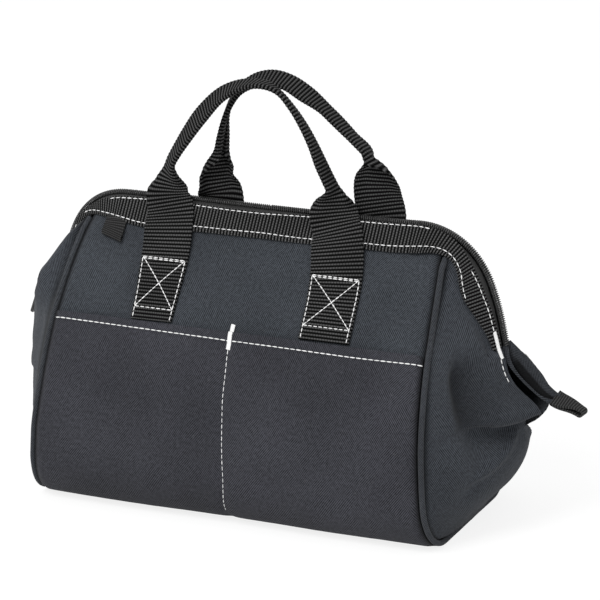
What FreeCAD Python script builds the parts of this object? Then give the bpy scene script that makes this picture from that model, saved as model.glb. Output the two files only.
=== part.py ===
import FreeCAD, Part
import math
import os

# Zippered tool bag. Millimetres, +Z up, +X along the length, front towards -Y.
# The origin is the middle of the flat base, on the floor.

Vec = FreeCAD.Vector
ACROSS = Vec(0, 1, 0)
ALONG = Vec(1, 0, 0)
UP = Vec(0, 0, 1)
ORIGIN = Vec(0, 0, 0)

# Cloth, layers and cutting
fabric = 1.2
webbing = 1.6
clearance = 0.3
overrun = 400.0

# Body
base_length = 300.0
top_length = 268.0
zip_height = 209.5
base_flat_depth = 96.0
body_depth = 166.0
side_rise = 15.0
fold_height = 134.4
zip_offset = 3.7
board_thickness = 3.0
board_margin = 2.0
board_corner = 12.0
piping_diameter = 4.0
cord_sides = 10
piping_tuck = 13.0
pocket_seam_height = 1.0

# Mouth: band, tapes and coil
band_width = 20.0
band_thickness = 1.5
band_drop = 5.0
panel_tuck = 3.0
tape_width = 18.0
tape_thickness = 0.8
coil_width = 2.3
coil_height = 3.0
coil_gap = 0.4
corner_inset = 24.0
corner_radius_zip = 55.0
arm_tilt = 18.3
arm_length = 43.0
arm_slope = 45.0
arm_gap = 0.6
arm_band_start = 4.5
arm_band_end = 9.0
arm_band_taper = 38.0
slit_half = 6.0

# End panels: how far they stand out from the end seams, by height up to the arm's end
end_bulge = 43.0
ridge_stand = 12.0
belly_shares = (
    (0.0, 0.12, 0.9),
    (0.03, 0.20, 0.9),
    (0.08, 0.31, 0.9),
    (0.17, 0.52, 0.9),
    (0.30, 0.78, 0.9),
    (0.46, 0.96, 0.9),
    (0.62, 1.00, 0.9),
    (0.80, 0.90, 0.9),
)
wing_shares = ((0.0, 0.8), (0.3, 0.4), (0.65, 0.1), (1.0, 0.0))
wing_top_drop = 17.0
ridge_round_share = 0.25
across_steps = 5

# Handles
handle_spacing = 129.0
handle_width = 34.0
anchor_foot = 3.5
patch_gap = 19.1
fold_gap = 1.4
handle_rise = 89.5
handle_sway = 9.0
handle_apex = -2.0
neck_start = 6.0
neck_rise = 19.0
grip_width = 18.0
grip_thickness = 4.2
grip_gap = 2.4
arch_power = 1.65
arch_steps = 6
neck_width_share = 0.8
neck_sway_share = 0.6
grip_turn_shares = ((0.0, 75.0), (0.25, 45.0), (0.5, -22.0), (0.75, -15.0), (1.0, -75.0))

# Loop tab under the front band
loop_place = -111.0
loop_width = 16.0
loop_drop = 10.0

# Slider and pull, on the left arm
slider_length = 12.0
slider_wall = 1.4
slider_park = 8.0
ear_length = 4.0
pin_diameter = 2.0
pin_clearance = 0.15
eye_wall = 1.0
pull_length = 26.0
pull_width = 8.0
pull_thickness = 1.4
eye_width = 2.4

# Zipper tail at the right end
tail_droop = 36.0
tail_length = 47.0
tail_width = 11.0
tab_length = 24.0
tab_width = 15.0
tab_lap = 8.0

# Worked out from the sizes above
half_base = base_length / 2
half_flat = base_flat_depth / 2
end_taper = (base_length - top_length) / 2 / zip_height
bottom_radius = (body_depth - base_flat_depth) / 2
wall_start = bottom_radius + side_rise
lean_steps = 60


def solve_lean():
    # How far the upper wall leans in, so that a curve from the upright side runs into it at the fold.
    low = 0
    high = math.pi / 2
    for step in range(lean_steps):
        middle = (low + high) / 2
        drawn_in = (fold_height - wall_start) * math.tan(middle / 2) + (zip_height - fold_height) * math.tan(middle)
        if drawn_in > body_depth / 2 - zip_offset:
            high = middle
        else:
            low = middle
    return low


lean = solve_lean()
wall_radius = (fold_height - wall_start) / math.sin(lean)
wall_centre = wall_radius - body_depth / 2
fold_y = wall_centre - wall_radius * math.cos(lean)
wall_length = (zip_height - fold_height) / math.cos(lean)
fold_axis = fabric / 2 + clearance
band_top = wall_length - band_drop
band_low = band_top - band_width
handle_axis = band_low - patch_gap
anchor_top = handle_axis - webbing / 2 - fold_gap
piping_radius = piping_diameter / 2
corner_start = top_length / 2 - corner_inset
arm_lean = math.radians(arm_tilt)
arm_top_x = corner_start + corner_radius_zip * math.cos(arm_lean)
arm_top_z = zip_height - corner_radius_zip * (1 - math.sin(arm_lean))
arm_end_x = arm_top_x + arm_length * math.sin(arm_lean)
arm_bottom = arm_top_z - arm_length * math.cos(arm_lean)
coil_edge = coil_gap / 2 + coil_width
slope = math.radians(arm_slope)
ridge_span = math.hypot(1, ridge_round_share) - ridge_round_share


def half_length(z):
    return half_base - end_taper * z


def save(name, shape):
    shape.exportStep("parts/" + name + ".step")
    print(name, "solids", len(shape.Solids), "valid", shape.isValid(), "volume", round(shape.Volume))


def mirrored(shape, normal):
    return shape.mirror(ORIGIN, normal)


def wall_place(x, s, n):
    # A point on the upper wall: s up its slope from the fold, n out of its outer face.
    y = fold_y + s * math.sin(lean) - n * math.cos(lean)
    z = fold_height + s * math.cos(lean) + n * math.sin(lean)
    return Vec(x, y, z)


def wall_normal():
    return wall_place(0, 0, 1) - wall_place(0, 0, 0)


def wall_edges(inset, start):
    # The lower wall's curve in the YZ plane: bottom corner, upright, wall curve. start is an angle from the floor.
    corner = bottom_radius - inset
    curve = wall_radius - inset

    def on_corner(angle):
        return Vec(0, -half_flat - corner * math.sin(angle), bottom_radius - corner * math.cos(angle))

    def on_curve(angle):
        return Vec(0, wall_centre - curve * math.cos(angle), wall_start + curve * math.sin(angle))

    turn = math.pi / 2
    low = Part.Arc(on_corner(start), on_corner((start + turn) / 2), on_corner(turn)).toShape()
    rise = Part.LineSegment(on_corner(turn), on_curve(0)).toShape()
    high = Part.Arc(on_curve(0), on_curve(lean / 2), on_curve(lean)).toShape()
    return [low, rise, high]


def wall_ends(inset, start):
    edges = wall_edges(inset, start)
    return edges[0].Vertexes[0].Point, edges[-1].Vertexes[-1].Point


def body_trim(grow):
    # Everything between the two slanted end seams, moved out by grow.
    low = half_length(-overrun) + grow
    high = half_length(overrun) + grow
    corners = [Vec(-low, -overrun, -overrun), Vec(low, -overrun, -overrun),
               Vec(high, -overrun, overrun), Vec(-high, -overrun, overrun)]
    face = Part.Face(Part.makePolygon(corners + corners[:1]))
    return face.extrude(Vec(0, 2 * overrun, 0))


def wall_sheet(outer, inner, start):
    # The lower wall between two insets, cut to the end seams.
    edges = wall_edges(outer, start) + wall_edges(inner, start)
    for k in range(2):
        edges.append(Part.LineSegment(wall_ends(outer, start)[k], wall_ends(inner, start)[k]).toShape())
    face = Part.Face(Part.Wire(Part.__sortEdges__(edges)))
    face.translate(Vec(-overrun, 0, 0))
    return face.extrude(Vec(2 * overrun, 0, 0)).common(body_trim(0))


def wall_plate(s_low, s_high, n_low, n_high):
    # A flat layer of the upper wall from seam to seam, its top corners following the zipper's corners.
    x_low = half_length(wall_place(0, s_low, n_low).z)
    x_high = half_length(wall_place(0, s_high, n_low).z)

    def dropped(x):
        return s_high - corner_radius_zip + math.sqrt(corner_radius_zip ** 2 - (x - corner_start) ** 2)

    x_mid = (corner_start + x_high) / 2
    edges = [Part.LineSegment(wall_place(-x_low, s_low, n_low), wall_place(x_low, s_low, n_low)).toShape(),
             Part.LineSegment(wall_place(-corner_start, s_high, n_low),
                              wall_place(corner_start, s_high, n_low)).toShape()]
    for side in (-1, 1):
        foot = wall_place(side * x_low, s_low, n_low)
        head = wall_place(side * x_high, dropped(x_high), n_low)
        middle = wall_place(side * x_mid, dropped(x_mid), n_low)
        edges.append(Part.LineSegment(foot, head).toShape())
        edges.append(Part.Arc(head, middle, wall_place(side * corner_start, s_high, n_low)).toShape())
    face = Part.Face(Part.Wire(Part.__sortEdges__(edges)))
    return face.extrude(wall_normal() * (n_high - n_low))


def wall_block(x_mid, width, s_low, s_high, n_low, n_high):
    # A straight strip of webbing lying on the upper wall.
    x = x_mid - width / 2
    corners = [wall_place(x, s_low, n_low), wall_place(x, s_high, n_low),
               wall_place(x, s_high, n_high), wall_place(x, s_low, n_high)]
    face = Part.Face(Part.makePolygon(corners + corners[:1]))
    return face.extrude(Vec(width, 0, 0))


def rolled_edge(x_mid, width, s, n, radius):
    # The round lower edge of a flap, on its fold line.
    start = wall_place(x_mid - width / 2, s, n)
    return Part.makeCylinder(radius, width, start, ALONG)


def swept(path, section):
    shell = Part.BRepOffsetAPI.MakePipeShell(path)
    shell.setBiNormalMode(ACROSS)
    shell.add(section)
    shell.build()
    shell.makeSolid()
    return shell.shape()


# Body pieces


def make_base_panel():
    depth = base_flat_depth - 2 * clearance
    return Part.makeBox(base_length, depth, fabric, Vec(-half_base, -depth / 2, 0))


def make_base_board():
    length = base_length - 2 * board_margin
    depth = base_flat_depth - 2 * board_margin
    corner = Vec(-length / 2, -depth / 2, fabric + clearance)
    board = Part.makeBox(length, depth, board_thickness, corner)
    uprights = [e for e in board.Edges if abs(e.tangentAt(e.FirstParameter).z) > abs(UP.z) / 2]
    return board.makeFillet(board_corner, uprights)


def make_pocket():
    outer = -clearance - fabric
    start = math.acos((bottom_radius - pocket_seam_height) / (bottom_radius - outer))
    return wall_sheet(outer, -clearance, start)


cord_angles = [2 * math.pi * k / cord_sides for k in range(cord_sides)]


def make_lower_piping():
    # One cord down the front seam, under the end and up the back seam, at the right end.
    front = wall_edges(piping_radius, 0)
    back = [mirrored(edge, ACROSS) for edge in front]
    foot = wall_ends(piping_radius, 0)[0]
    under = Part.LineSegment(foot, Vec(foot.x, -foot.y, foot.z)).toShape()
    path = Part.Wire(Part.__sortEdges__(front + back + [under]))
    first = path.OrderedEdges[0]
    place = path.OrderedVertexes[0].Point
    along = first.tangentAt(first.FirstParameter)
    rim = [place + ALONG.cross(along) * piping_radius * math.cos(angle) + ALONG * piping_radius * math.sin(angle)
           for angle in cord_angles]
    cord = path.makePipeShell([Part.makePolygon(rim + rim[:1])], True, False)
    slant = FreeCAD.Matrix(1, 0, -end_taper, half_base + clearance + piping_radius,
                           0, 1, 0, 0,
                           0, 0, 1, 0,
                           0, 0, 0, 1)
    return cord.transformGeometry(slant)


def make_upper_piping():
    s_low = fold_axis + fabric / 2
    s_high = band_low - piping_tuck

    def centre(s):
        point = wall_place(0, s, -piping_radius)
        return Vec(half_length(point.z) + clearance + piping_radius, point.y, point.z)

    run = centre(s_high) - centre(s_low)
    return Part.makeCylinder(piping_radius, run.Length, centre(s_low), run)


def make_upper_panel():
    panel = wall_plate(fold_axis, band_top - panel_tuck, -fabric, 0)
    width = 2 * half_length(wall_place(0, fold_axis, 0).z)
    return panel.fuse(rolled_edge(0, width, fold_axis, -fabric / 2, fabric / 2)).removeSplitter()


# Mouth


def make_zip_tape():
    n_high = -fabric - clearance
    top = zip_height - coil_height / 2 - clearance - fold_height - n_high * math.sin(lean)
    s_high = top / math.cos(lean)
    return wall_plate(s_high - tape_width, s_high, n_high - tape_thickness, n_high)


def arm_path(side):
    # The zipper's line from the top run round one corner and down the end.
    start = Vec(side * corner_start, 0, zip_height)
    half_turn = (math.pi / 2 - arm_lean) / 2
    middle = Vec(side * (corner_start + corner_radius_zip * math.sin(half_turn)), 0,
                 zip_height - corner_radius_zip * (1 - math.cos(half_turn)))
    bend = Vec(side * arm_top_x, 0, arm_top_z)
    end = Vec(side * arm_end_x, 0, arm_bottom)
    return [Part.Arc(start, middle, bend).toShape(), Part.LineSegment(bend, end).toShape()]


def section(points):
    corners = [Vec(corner_start, y, zip_height + n) for y, n in points]
    return Part.makePolygon(corners + corners[:1])


def slope_strip(w_low, w_high, v_low, v_high):
    # A strip on the front slope of an arm, w down the slope from the coil, v out of it.
    def corner(w, v):
        y = -coil_edge - w * math.cos(slope) - v * math.sin(slope)
        n = -coil_height / 2 - clearance - w * math.sin(slope) + v * math.cos(slope)
        return y, n
    return section([corner(w_low, v_low), corner(w_high, v_low), corner(w_high, v_high), corner(w_low, v_high)])


def coil_half():
    inner = -coil_gap / 2
    half = coil_height / 2
    return section([(inner, -half), (-coil_edge, -half), (-coil_edge, half), (inner, half)])


def arm_piece(outline):
    sweep = swept(Part.Wire(arm_path(1)), outline)
    return sweep.cut(body_trim(arm_gap))


def make_arm_band():
    # The band narrows towards the bar tack at the arm's end.
    strip = arm_piece(slope_strip(arm_band_start, arm_band_start + band_width, clearance, clearance + band_thickness))
    tip = -coil_edge - (arm_band_start + arm_band_end) * math.cos(slope)
    side = -coil_edge - (arm_band_start + band_width + arm_band_end) * math.cos(slope)
    drop = arm_band_end + band_width
    corners = [Vec(0, tip, arm_bottom - drop), Vec(0, tip, arm_bottom), Vec(0, side, arm_bottom + arm_band_taper),
               Vec(0, side - overrun, arm_bottom + arm_band_taper), Vec(0, side - overrun, arm_bottom - drop)]
    scrap = Part.Face(Part.makePolygon(corners + corners[:1])).extrude(Vec(overrun, 0, 0))
    return strip.cut(scrap)


def make_top_coil():
    corner = swept(Part.Wire(arm_path(1)), coil_half()).common(body_trim(0))
    run = Part.Face(coil_half()).extrude(Vec(-2 * corner_start, 0, 0))
    return run.fuse([corner, mirrored(corner, ALONG)]).removeSplitter()


# End panels


def seam_y(z):
    # The gusset's edge: the wall's curve drawn in past the piping.
    inset = piping_diameter + clearance
    if z < bottom_radius:
        radius = bottom_radius - inset
        return -half_flat - math.sqrt(radius ** 2 - (bottom_radius - z) ** 2)
    if z < wall_start:
        return inset - body_depth / 2
    radius = wall_radius - inset
    if z < wall_start + radius * math.sin(lean):
        return wall_centre - math.sqrt(radius ** 2 - (z - wall_start) ** 2)
    drop = (z - fold_height + inset * math.sin(lean)) / math.cos(lean)
    return wall_place(0, drop, -inset).y


def arm_x(z):
    if z < arm_top_z:
        return arm_end_x - (z - arm_bottom) * math.tan(arm_lean)
    lift = z - zip_height + corner_radius_zip
    return corner_start + math.sqrt(corner_radius_zip ** 2 - lift ** 2)


def end_row(z, ridge, round_share):
    # One level of the gusset, from the front seam over the ridge to the back seam.
    edge_x = half_length(z) + clearance + piping_radius
    edge_y = seam_y(z)
    row = []
    for k in range(-across_steps, across_steps + 1):
        v = k / across_steps
        straight = 1 - (math.hypot(v, ridge_round_share) - ridge_round_share) / ridge_span
        curved = 1 - v * v
        out = straight + (curved - straight) * round_share
        row.append(Vec(edge_x + (ridge - edge_x) * out, -edge_y * v, z))
    return row


def mouth_space():
    # What the zipper's layers fill along an arm, with their clearance, on both slopes.
    proud = 2 * clearance + band_thickness
    reach = (arm_band_start + band_width) * math.cos(slope) + proud * math.sin(slope)
    under = (tape_thickness + clearance) / math.cos(slope)
    top = coil_height + slider_length
    brow = -coil_height / 2 - clearance - under
    low = brow - reach
    side = coil_edge + reach
    outline = [(0, top), (-side, top), (-side, low), (-coil_edge, brow), (coil_edge, brow), (side, low), (side, top)]
    return swept(Part.Wire(arm_path(1)), section(outline))


def belly_levels():
    low = piping_diameter + clearance
    for height_share, bulge_share, round_share in belly_shares:
        yield low + (arm_bottom - low) * height_share, half_base + end_bulge * bulge_share, round_share


def make_end_panel(slit_drop):
    rows = [end_row(z, ridge, round_share) for z, ridge, round_share in belly_levels()]
    for height_share, round_share in wing_shares:
        z = arm_bottom + (zip_height - wing_top_drop - arm_bottom) * height_share
        rows.append(end_row(z, arm_x(z) - ridge_stand, round_share))
    through = Vec(-fabric / math.cos(slope), 0, 0)
    wires = []
    for row in rows:
        inner = [point + through for point in reversed(row)]
        wires.append(Part.makePolygon(row + inner + row[:1]))
    cloth = Part.makeLoft(wires, True, True)
    slit = Part.makeBox(overrun, 2 * slit_half, overrun, Vec(0, -slit_half, arm_bottom - slit_drop))
    return cloth.cut([slit, mouth_space()])


# Handles


def grip_turn(share):
    for (low, first), (high, last) in zip(grip_turn_shares, grip_turn_shares[1:]):
        if share <= high:
            return first + (last - first) * (share - low) / (high - low)
    return grip_turn_shares[-1][1]


def cross_section(centre, wide, thick, width, thickness):
    half_w = wide.normalize() * (width / 2)
    half_t = thick.normalize() * (thickness / 2)
    corners = [centre - half_w - half_t, centre + half_w - half_t, centre + half_w + half_t, centre - half_w + half_t]
    return Part.makePolygon(corners + corners[:1])


def foot_sections(side):
    # From the fold line up over the band to the start of the grip, on the left or right leg.
    x_foot = side * handle_spacing / 2
    face = wall_normal() * -side
    low = clearance + webbing / 2
    high = low + clearance + band_thickness
    grip_y = -(grip_width + grip_gap) / 2
    outward = Vec(0, side, 0)
    near = wall_place(x_foot - handle_sway * neck_sway_share, band_top, high)
    flat = [(wall_place(x_foot, handle_axis, low), face, handle_width, webbing),
            (wall_place(x_foot, band_low - webbing, high), face, handle_width, webbing),
            (near, face, handle_width, webbing)]
    steps = ((neck_start, handle_width, webbing),
             ((neck_start + neck_rise) / 2, handle_width * neck_width_share, (webbing + grip_thickness) / 2))
    for rise, width, thickness in steps:
        share = rise / neck_rise
        x = near.x + (x_foot - handle_sway - near.x) * share
        y = near.y + (grip_y - near.y) * share
        flat.append((Vec(x, y, zip_height + rise), outward, width, thickness))
    wires = [cross_section(c, Vec(1, 0, 0), Vec(t), w, d) for c, t, w, d in flat]
    return wires if side < 0 else wires[::-1]


def arch_sections():
    grip_y = -(grip_width + grip_gap) / 2
    left = -handle_spacing / 2 - handle_sway
    right = handle_spacing / 2 - handle_sway
    height = handle_rise - neck_rise

    def point(share):
        angle = math.pi * share
        rise = math.sin(angle) ** (2 / arch_power)
        span = abs(math.cos(angle)) ** (2 / arch_power)
        foot = left if share < 1 / 2 else right
        return Vec(handle_apex + (foot - handle_apex) * span, grip_y, zip_height + neck_rise + height * rise)

    wires = []
    count = 2 * arch_steps
    for k in range(count + 1):
        share = k / count
        ahead = point(min(share + 1 / count / count, 1))
        behind = point(max(share - 1 / count / count, 0))
        run = (ahead - behind).normalize()
        outward = ACROSS.cross(run) * -1
        turn = math.radians(grip_turn(share))
        face = outward * math.cos(turn) - ACROSS * math.sin(turn)
        wires.append(cross_section(point(share), run.cross(face), face, grip_width, grip_thickness))
    return wires


def make_handle():
    loop = Part.makeLoft(foot_sections(-1) + arch_sections() + foot_sections(1), True, True)
    ends = [rolled_edge(side * handle_spacing / 2, handle_width, handle_axis, clearance + webbing / 2, webbing / 2)
            for side in (-1, 1)]
    return loop.fuse(ends)


# Slider and tail, built flat and then set on the arm


def set_on(shape, place, along, out):
    side = out.cross(along)
    matrix = FreeCAD.Matrix(along.x, side.x, out.x, place.x,
                            along.y, side.y, out.y, place.y,
                            along.z, side.z, out.z, place.z,
                            0, 0, 0, 1)
    return shape.transformGeometry(matrix)


slider_up = Vec(math.sin(arm_lean), 0, math.cos(arm_lean))
slider_out = Vec(-math.cos(arm_lean), 0, math.sin(arm_lean))
slider_place = Vec(-arm_end_x, 0, arm_bottom) + slider_up * slider_park
slider_under = coil_height / 2 + clearance
slider_top = slider_under + slider_wall
slider_half = coil_edge + clearance + slider_wall
eye_rim = pin_diameter / 2 + pin_clearance + eye_wall
pin_rise = slider_top + clearance + eye_rim
ear_height = pin_rise - slider_top + ear_length / 2
pin_place = slider_place + slider_out * pin_rise


def pull_hang():
    # The pull's tilt from upright: along the arm, or further out where the end panel pushes it.
    tilts = [arm_lean]
    for z, ridge, round_share in belly_levels():
        if z < pin_place.z:
            tilts.append(math.atan2(ridge + clearance + pull_thickness + pin_place.x, pin_place.z - z))
    return max(tilts)


pull_angle = pull_hang()
pull_up = Vec(math.sin(pull_angle), 0, math.cos(pull_angle))
pull_out = Vec(-math.cos(pull_angle), 0, math.sin(pull_angle))
ear_inner = eye_width / 2 + clearance


def make_slider():
    plate = Part.makeBox(slider_length, 2 * slider_half, slider_wall, Vec(-slider_length / 2, -slider_half, slider_under))
    pieces = []
    for side in (-1, 1):
        wall_y = min(side * slider_half, side * (slider_half - slider_wall))
        pieces.append(Part.makeBox(slider_length, slider_wall, slider_under, Vec(-slider_length / 2, wall_y, 0)))
        ear_y = min(side * ear_inner, side * (ear_inner + slider_wall))
        pieces.append(Part.makeBox(ear_length, slider_wall, ear_height, Vec(-ear_length / 2, ear_y, slider_top)))
    pin_half = ear_inner + slider_wall
    pieces.append(Part.makeCylinder(pin_diameter / 2, 2 * pin_half, Vec(0, -pin_half, pin_rise), ACROSS))
    return set_on(plate.fuse(pieces), slider_place, slider_up, slider_out)


def make_pull():
    # Built flat about its pin, then hung down against the end panel.
    start = Vec(0, -eye_width / 2, 0)
    eye = Part.makeCylinder(eye_rim, eye_width, start, ACROSS)
    shank_end = -ear_length
    low = -pull_thickness / 2
    shank = Part.makeBox(-shank_end, eye_width, pull_thickness, Vec(shank_end, -eye_width / 2, low))
    blade = Part.makeBox(pull_length, pull_width, pull_thickness, Vec(shank_end - pull_length, -pull_width / 2, low))
    tip = [e for e in blade.Edges if abs(e.tangentAt(e.FirstParameter).z) > abs(UP.z) / 2]
    blade = blade.makeFillet(pull_width / 3, tip)
    hole = Part.makeCylinder(eye_rim - eye_wall, eye_width, start, ACROSS)
    return set_on(eye.fuse([shank, blade]).cut(hole), pin_place, pull_up, pull_out)


tail_angle = math.radians(tail_droop)
tail_along = Vec(math.cos(tail_angle), 0, -math.sin(tail_angle))
tail_out = Vec(math.sin(tail_angle), 0, math.cos(tail_angle))
tail_reach = tail_width / 2 + clearance
tail_place = Vec(arm_end_x + tail_reach * math.sin(arm_lean), 0, arm_bottom - tail_reach * math.cos(arm_lean))


def tail_slit():
    # How far the right end panel is open below the arm, so that the tail passes out of it.
    run = max(half_base + end_bulge - tail_place.x, 0) / math.cos(tail_angle)
    lower_edge = tail_place.z - run * math.sin(tail_angle) - tab_width / 2 / math.cos(tail_angle)
    return arm_bottom - lower_edge + clearance


def make_tail_tape(side):
    inner = coil_edge - tape_thickness
    low = min(side * inner, side * (inner + tape_thickness))
    strip = Part.makeBox(tail_length, tape_thickness, tail_width, Vec(0, low, -tail_width / 2))
    root = Part.makeCylinder(tail_width / 2, tape_thickness, Vec(0, low, 0), ACROSS)
    return set_on(strip.fuse(root).removeSplitter(), tail_place, tail_along, tail_out)


def make_tail_tab():
    # Webbing folded over the tape ends, its fold at the far end.
    inner = coil_edge + clearance
    outer = inner + webbing
    start = tail_length - tab_lap
    turn = tail_length + tab_length - tab_lap - outer
    edges = []
    for radius in (inner, outer):
        for side in (-1, 1):
            edges.append(Part.LineSegment(Vec(start, side * radius, 0), Vec(turn, side * radius, 0)).toShape())
        edges.append(Part.Arc(Vec(turn, -radius, 0), Vec(turn + radius, 0, 0), Vec(turn, radius, 0)).toShape())
    for side in (-1, 1):
        edges.append(Part.LineSegment(Vec(start, side * inner, 0), Vec(start, side * outer, 0)).toShape())
    face = Part.Face(Part.Wire(Part.__sortEdges__(edges)))
    face.translate(Vec(0, 0, -tab_width / 2))
    return set_on(face.extrude(Vec(0, 0, tab_width)), tail_place, tail_along, tail_out)


def make_loop_tab():
    low = band_low - loop_drop
    flat = wall_block(loop_place, loop_width, low, band_low - clearance, clearance, clearance + webbing)
    return flat.fuse(rolled_edge(loop_place, loop_width, low, clearance + webbing / 2, webbing / 2)).removeSplitter()


def make_all():
    parts = {}
    parts["base_panel"] = make_base_panel()
    parts["base_board"] = make_base_board()
    parts["front_pocket"] = make_pocket()
    lower_piping = make_lower_piping()
    upper_piping = make_upper_piping()
    coil_arm = arm_piece(coil_half())
    arm_layers = {
        "zip_tape": arm_piece(slope_strip(0, tape_width, -tape_thickness, 0)),
        "band": make_arm_band(),
    }
    wall_layers = {
        "lower_panel": wall_sheet(0, fabric, 0),
        "upper_panel": make_upper_panel(),
        "band": wall_plate(band_low, band_top, clearance, clearance + band_thickness),
        "zip_tape": make_zip_tape(),
        "zip_coil": make_top_coil(),
    }
    for end, turn in (("right", 1), ("left", -1)):
        def to_end(shape):
            return shape if turn > 0 else mirrored(shape, ALONG)
        parts[end + "_end_panel"] = to_end(make_end_panel(tail_slit() if turn > 0 else clearance))
        parts[end + "_piping"] = to_end(lower_piping)
        parts[end + "_arm_coil"] = to_end(Part.makeCompound([coil_arm, mirrored(coil_arm, ACROSS)]))
        anchor = wall_block(turn * handle_spacing / 2, handle_width, anchor_foot, anchor_top,
                            clearance, clearance + webbing)
        for face in ("front", "back"):
            def to_face(shape):
                return shape if face == "front" else mirrored(shape, ACROSS)
            for layer, shape in arm_layers.items():
                parts[face + "_" + end + "_arm_" + layer] = to_face(to_end(shape))
            parts[face + "_" + end + "_piping"] = to_face(to_end(upper_piping))
            parts[face + "_" + end + "_anchor"] = to_face(anchor)
    for layer, shape in wall_layers.items():
        parts["front_" + layer] = shape
        parts["back_" + layer] = mirrored(shape, ACROSS)
    parts["loop_tab"] = make_loop_tab()
    parts["front_handle"] = make_handle()
    back = parts["front_handle"].copy()
    back.rotate(ORIGIN, UP, math.degrees(math.pi))
    parts["back_handle"] = back
    parts["zip_slider"] = make_slider()
    parts["slider_pull"] = make_pull()
    parts["front_tail_tape"] = make_tail_tape(-1)
    parts["back_tail_tape"] = make_tail_tape(1)
    parts["tail_tab"] = make_tail_tab()
    return parts


os.makedirs("parts", exist_ok=True)
for name, shape in make_all().items():
    save(name, shape)

print("wall lean in degrees", round(math.degrees(lean), 2))
print("wall fold line", wall_place(0, fold_axis, -fabric / 2))
print("handle fold line", wall_place(0, handle_axis, clearance + webbing / 2))
print("slider travel", slider_up, "pull pin", pin_place)
print("tail fold", tail_place)
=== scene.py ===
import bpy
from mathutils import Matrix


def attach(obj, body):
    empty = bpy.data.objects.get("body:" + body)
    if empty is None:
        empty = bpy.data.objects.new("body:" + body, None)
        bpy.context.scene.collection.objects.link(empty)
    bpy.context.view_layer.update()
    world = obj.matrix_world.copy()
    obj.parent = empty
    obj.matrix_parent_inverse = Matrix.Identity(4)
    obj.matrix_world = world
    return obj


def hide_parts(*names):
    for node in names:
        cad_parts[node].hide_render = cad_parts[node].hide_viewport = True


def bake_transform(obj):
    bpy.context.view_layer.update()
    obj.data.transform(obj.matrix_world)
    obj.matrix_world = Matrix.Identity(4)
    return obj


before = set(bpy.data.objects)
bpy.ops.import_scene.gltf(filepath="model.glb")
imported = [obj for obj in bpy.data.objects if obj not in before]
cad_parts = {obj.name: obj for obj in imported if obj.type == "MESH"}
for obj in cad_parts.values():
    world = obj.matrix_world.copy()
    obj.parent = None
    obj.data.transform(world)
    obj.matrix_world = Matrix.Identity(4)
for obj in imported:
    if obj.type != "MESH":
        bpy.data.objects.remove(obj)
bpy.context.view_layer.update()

import math
import bpy
import numpy as np
from mathutils import Vector, noise

# Zippered tool bag. Lengths here are millimetres, and meshes are made in metres.
mm = 0.001

bag = {
    "baseLength": 300.0, "topLength": 268.0, "zipHeight": 209.5,
    "flatDepth": 96.0, "depth": 166.0, "sideRise": 15.0,
    "foldHeight": 134.4, "zipOffset": 3.7,
    "cloth": 1.2, "gap": 0.3,
    "foldBelow": 14.0, "foldAbove": 4.0,      # a stretch of the wall below and above the fold
}

halfBase = bag["baseLength"] / 2
halfFlat = bag["flatDepth"] / 2
endTaper = (bag["baseLength"] - bag["topLength"]) / 2 / bag["zipHeight"]
bottomRadius = (bag["depth"] - bag["flatDepth"]) / 2
wallStart = bottomRadius + bag["sideRise"]


def solveLean():
    # the slope at which the wall reaches the zipper, found by halving
    low, high = 0.0, math.pi / 2
    for _ in range(60):
        middle = (low + high) / 2
        curveIn = (bag["foldHeight"] - wallStart) * math.tan(middle / 2)
        slopeIn = (bag["zipHeight"] - bag["foldHeight"]) * math.tan(middle)
        if curveIn + slopeIn > bag["depth"] / 2 - bag["zipOffset"]:
            high = middle
        else:
            low = middle
    return low


lean = solveLean()
wallRadius = (bag["foldHeight"] - wallStart) / math.sin(lean)
wallCentre = wallRadius - bag["depth"] / 2
foldY = wallCentre - wallRadius * math.cos(lean)
wallLength = (bag["zipHeight"] - bag["foldHeight"]) / math.cos(lean)
arcLength = wallRadius * lean
cornerLength = bottomRadius * math.pi / 2
wallFoot = -(arcLength + bag["sideRise"] + cornerLength)


def wallAt(s, n=0.0):
    # front wall in section: s up from the fold, n out of the cloth
    s = np.asarray(s, float)
    angle = lean + s / wallRadius
    turn = (-arcLength - bag["sideRise"] - s) / bottomRadius
    zones = [s >= 0, s >= -arcLength, s >= -arcLength - bag["sideRise"], s >= wallFoot]
    y = np.select(zones, [foldY + s * math.sin(lean), wallCentre - wallRadius * np.cos(angle),
                          np.full_like(s, -bag["depth"] / 2), -halfFlat - bottomRadius * np.cos(turn)],
                  -halfFlat + wallFoot - s)
    z = np.select(zones, [bag["foldHeight"] + s * math.cos(lean), wallStart + wallRadius * np.sin(angle),
                          wallStart + arcLength + s, bottomRadius * (1 - np.sin(turn))], 0.0)
    ny = np.select(zones, [np.full_like(s, -math.cos(lean)), -np.cos(angle), np.full_like(s, -1.0),
                           -np.cos(turn)], 0.0)
    nz = np.select(zones, [np.full_like(s, math.sin(lean)), np.sin(angle), np.zeros_like(s),
                           -np.sin(turn)], -1.0)
    return y + ny * n, z + nz * n


def joined(*parts):
    # coordinates side by side in a last axis
    return np.stack(np.broadcast_arrays(*parts), -1)


def wallPoint(x, s, n=0.0):
    y, z = wallAt(s, n)
    return joined(x, y, z)


# how far the soft seams are drawn in at each end, by height
seamDraw = {
    1: ((0, 1.4), (18, 2.4), (33, 2.8), (60, 2.6), (109, 2.3), (154, 2.9), (190, 3.4), (212, 3.5)),
    -1: ((0, 1.6), (19, 2.4), (36, 1.9), (54, 1.6), (80, 2.4), (109, 1.9), (136, 0.3), (162, 0.0),
         (178, 1.2), (190, 2.8), (212, 3.4)),
}


def halfLength(z, side=1):
    # half the wall's length at a height
    left, right = (curve(seamDraw[k], z) for k in (-1, 1))
    return halfBase - endTaper * np.asarray(z) - np.where(np.asarray(side) < 0, left, right)


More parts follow.
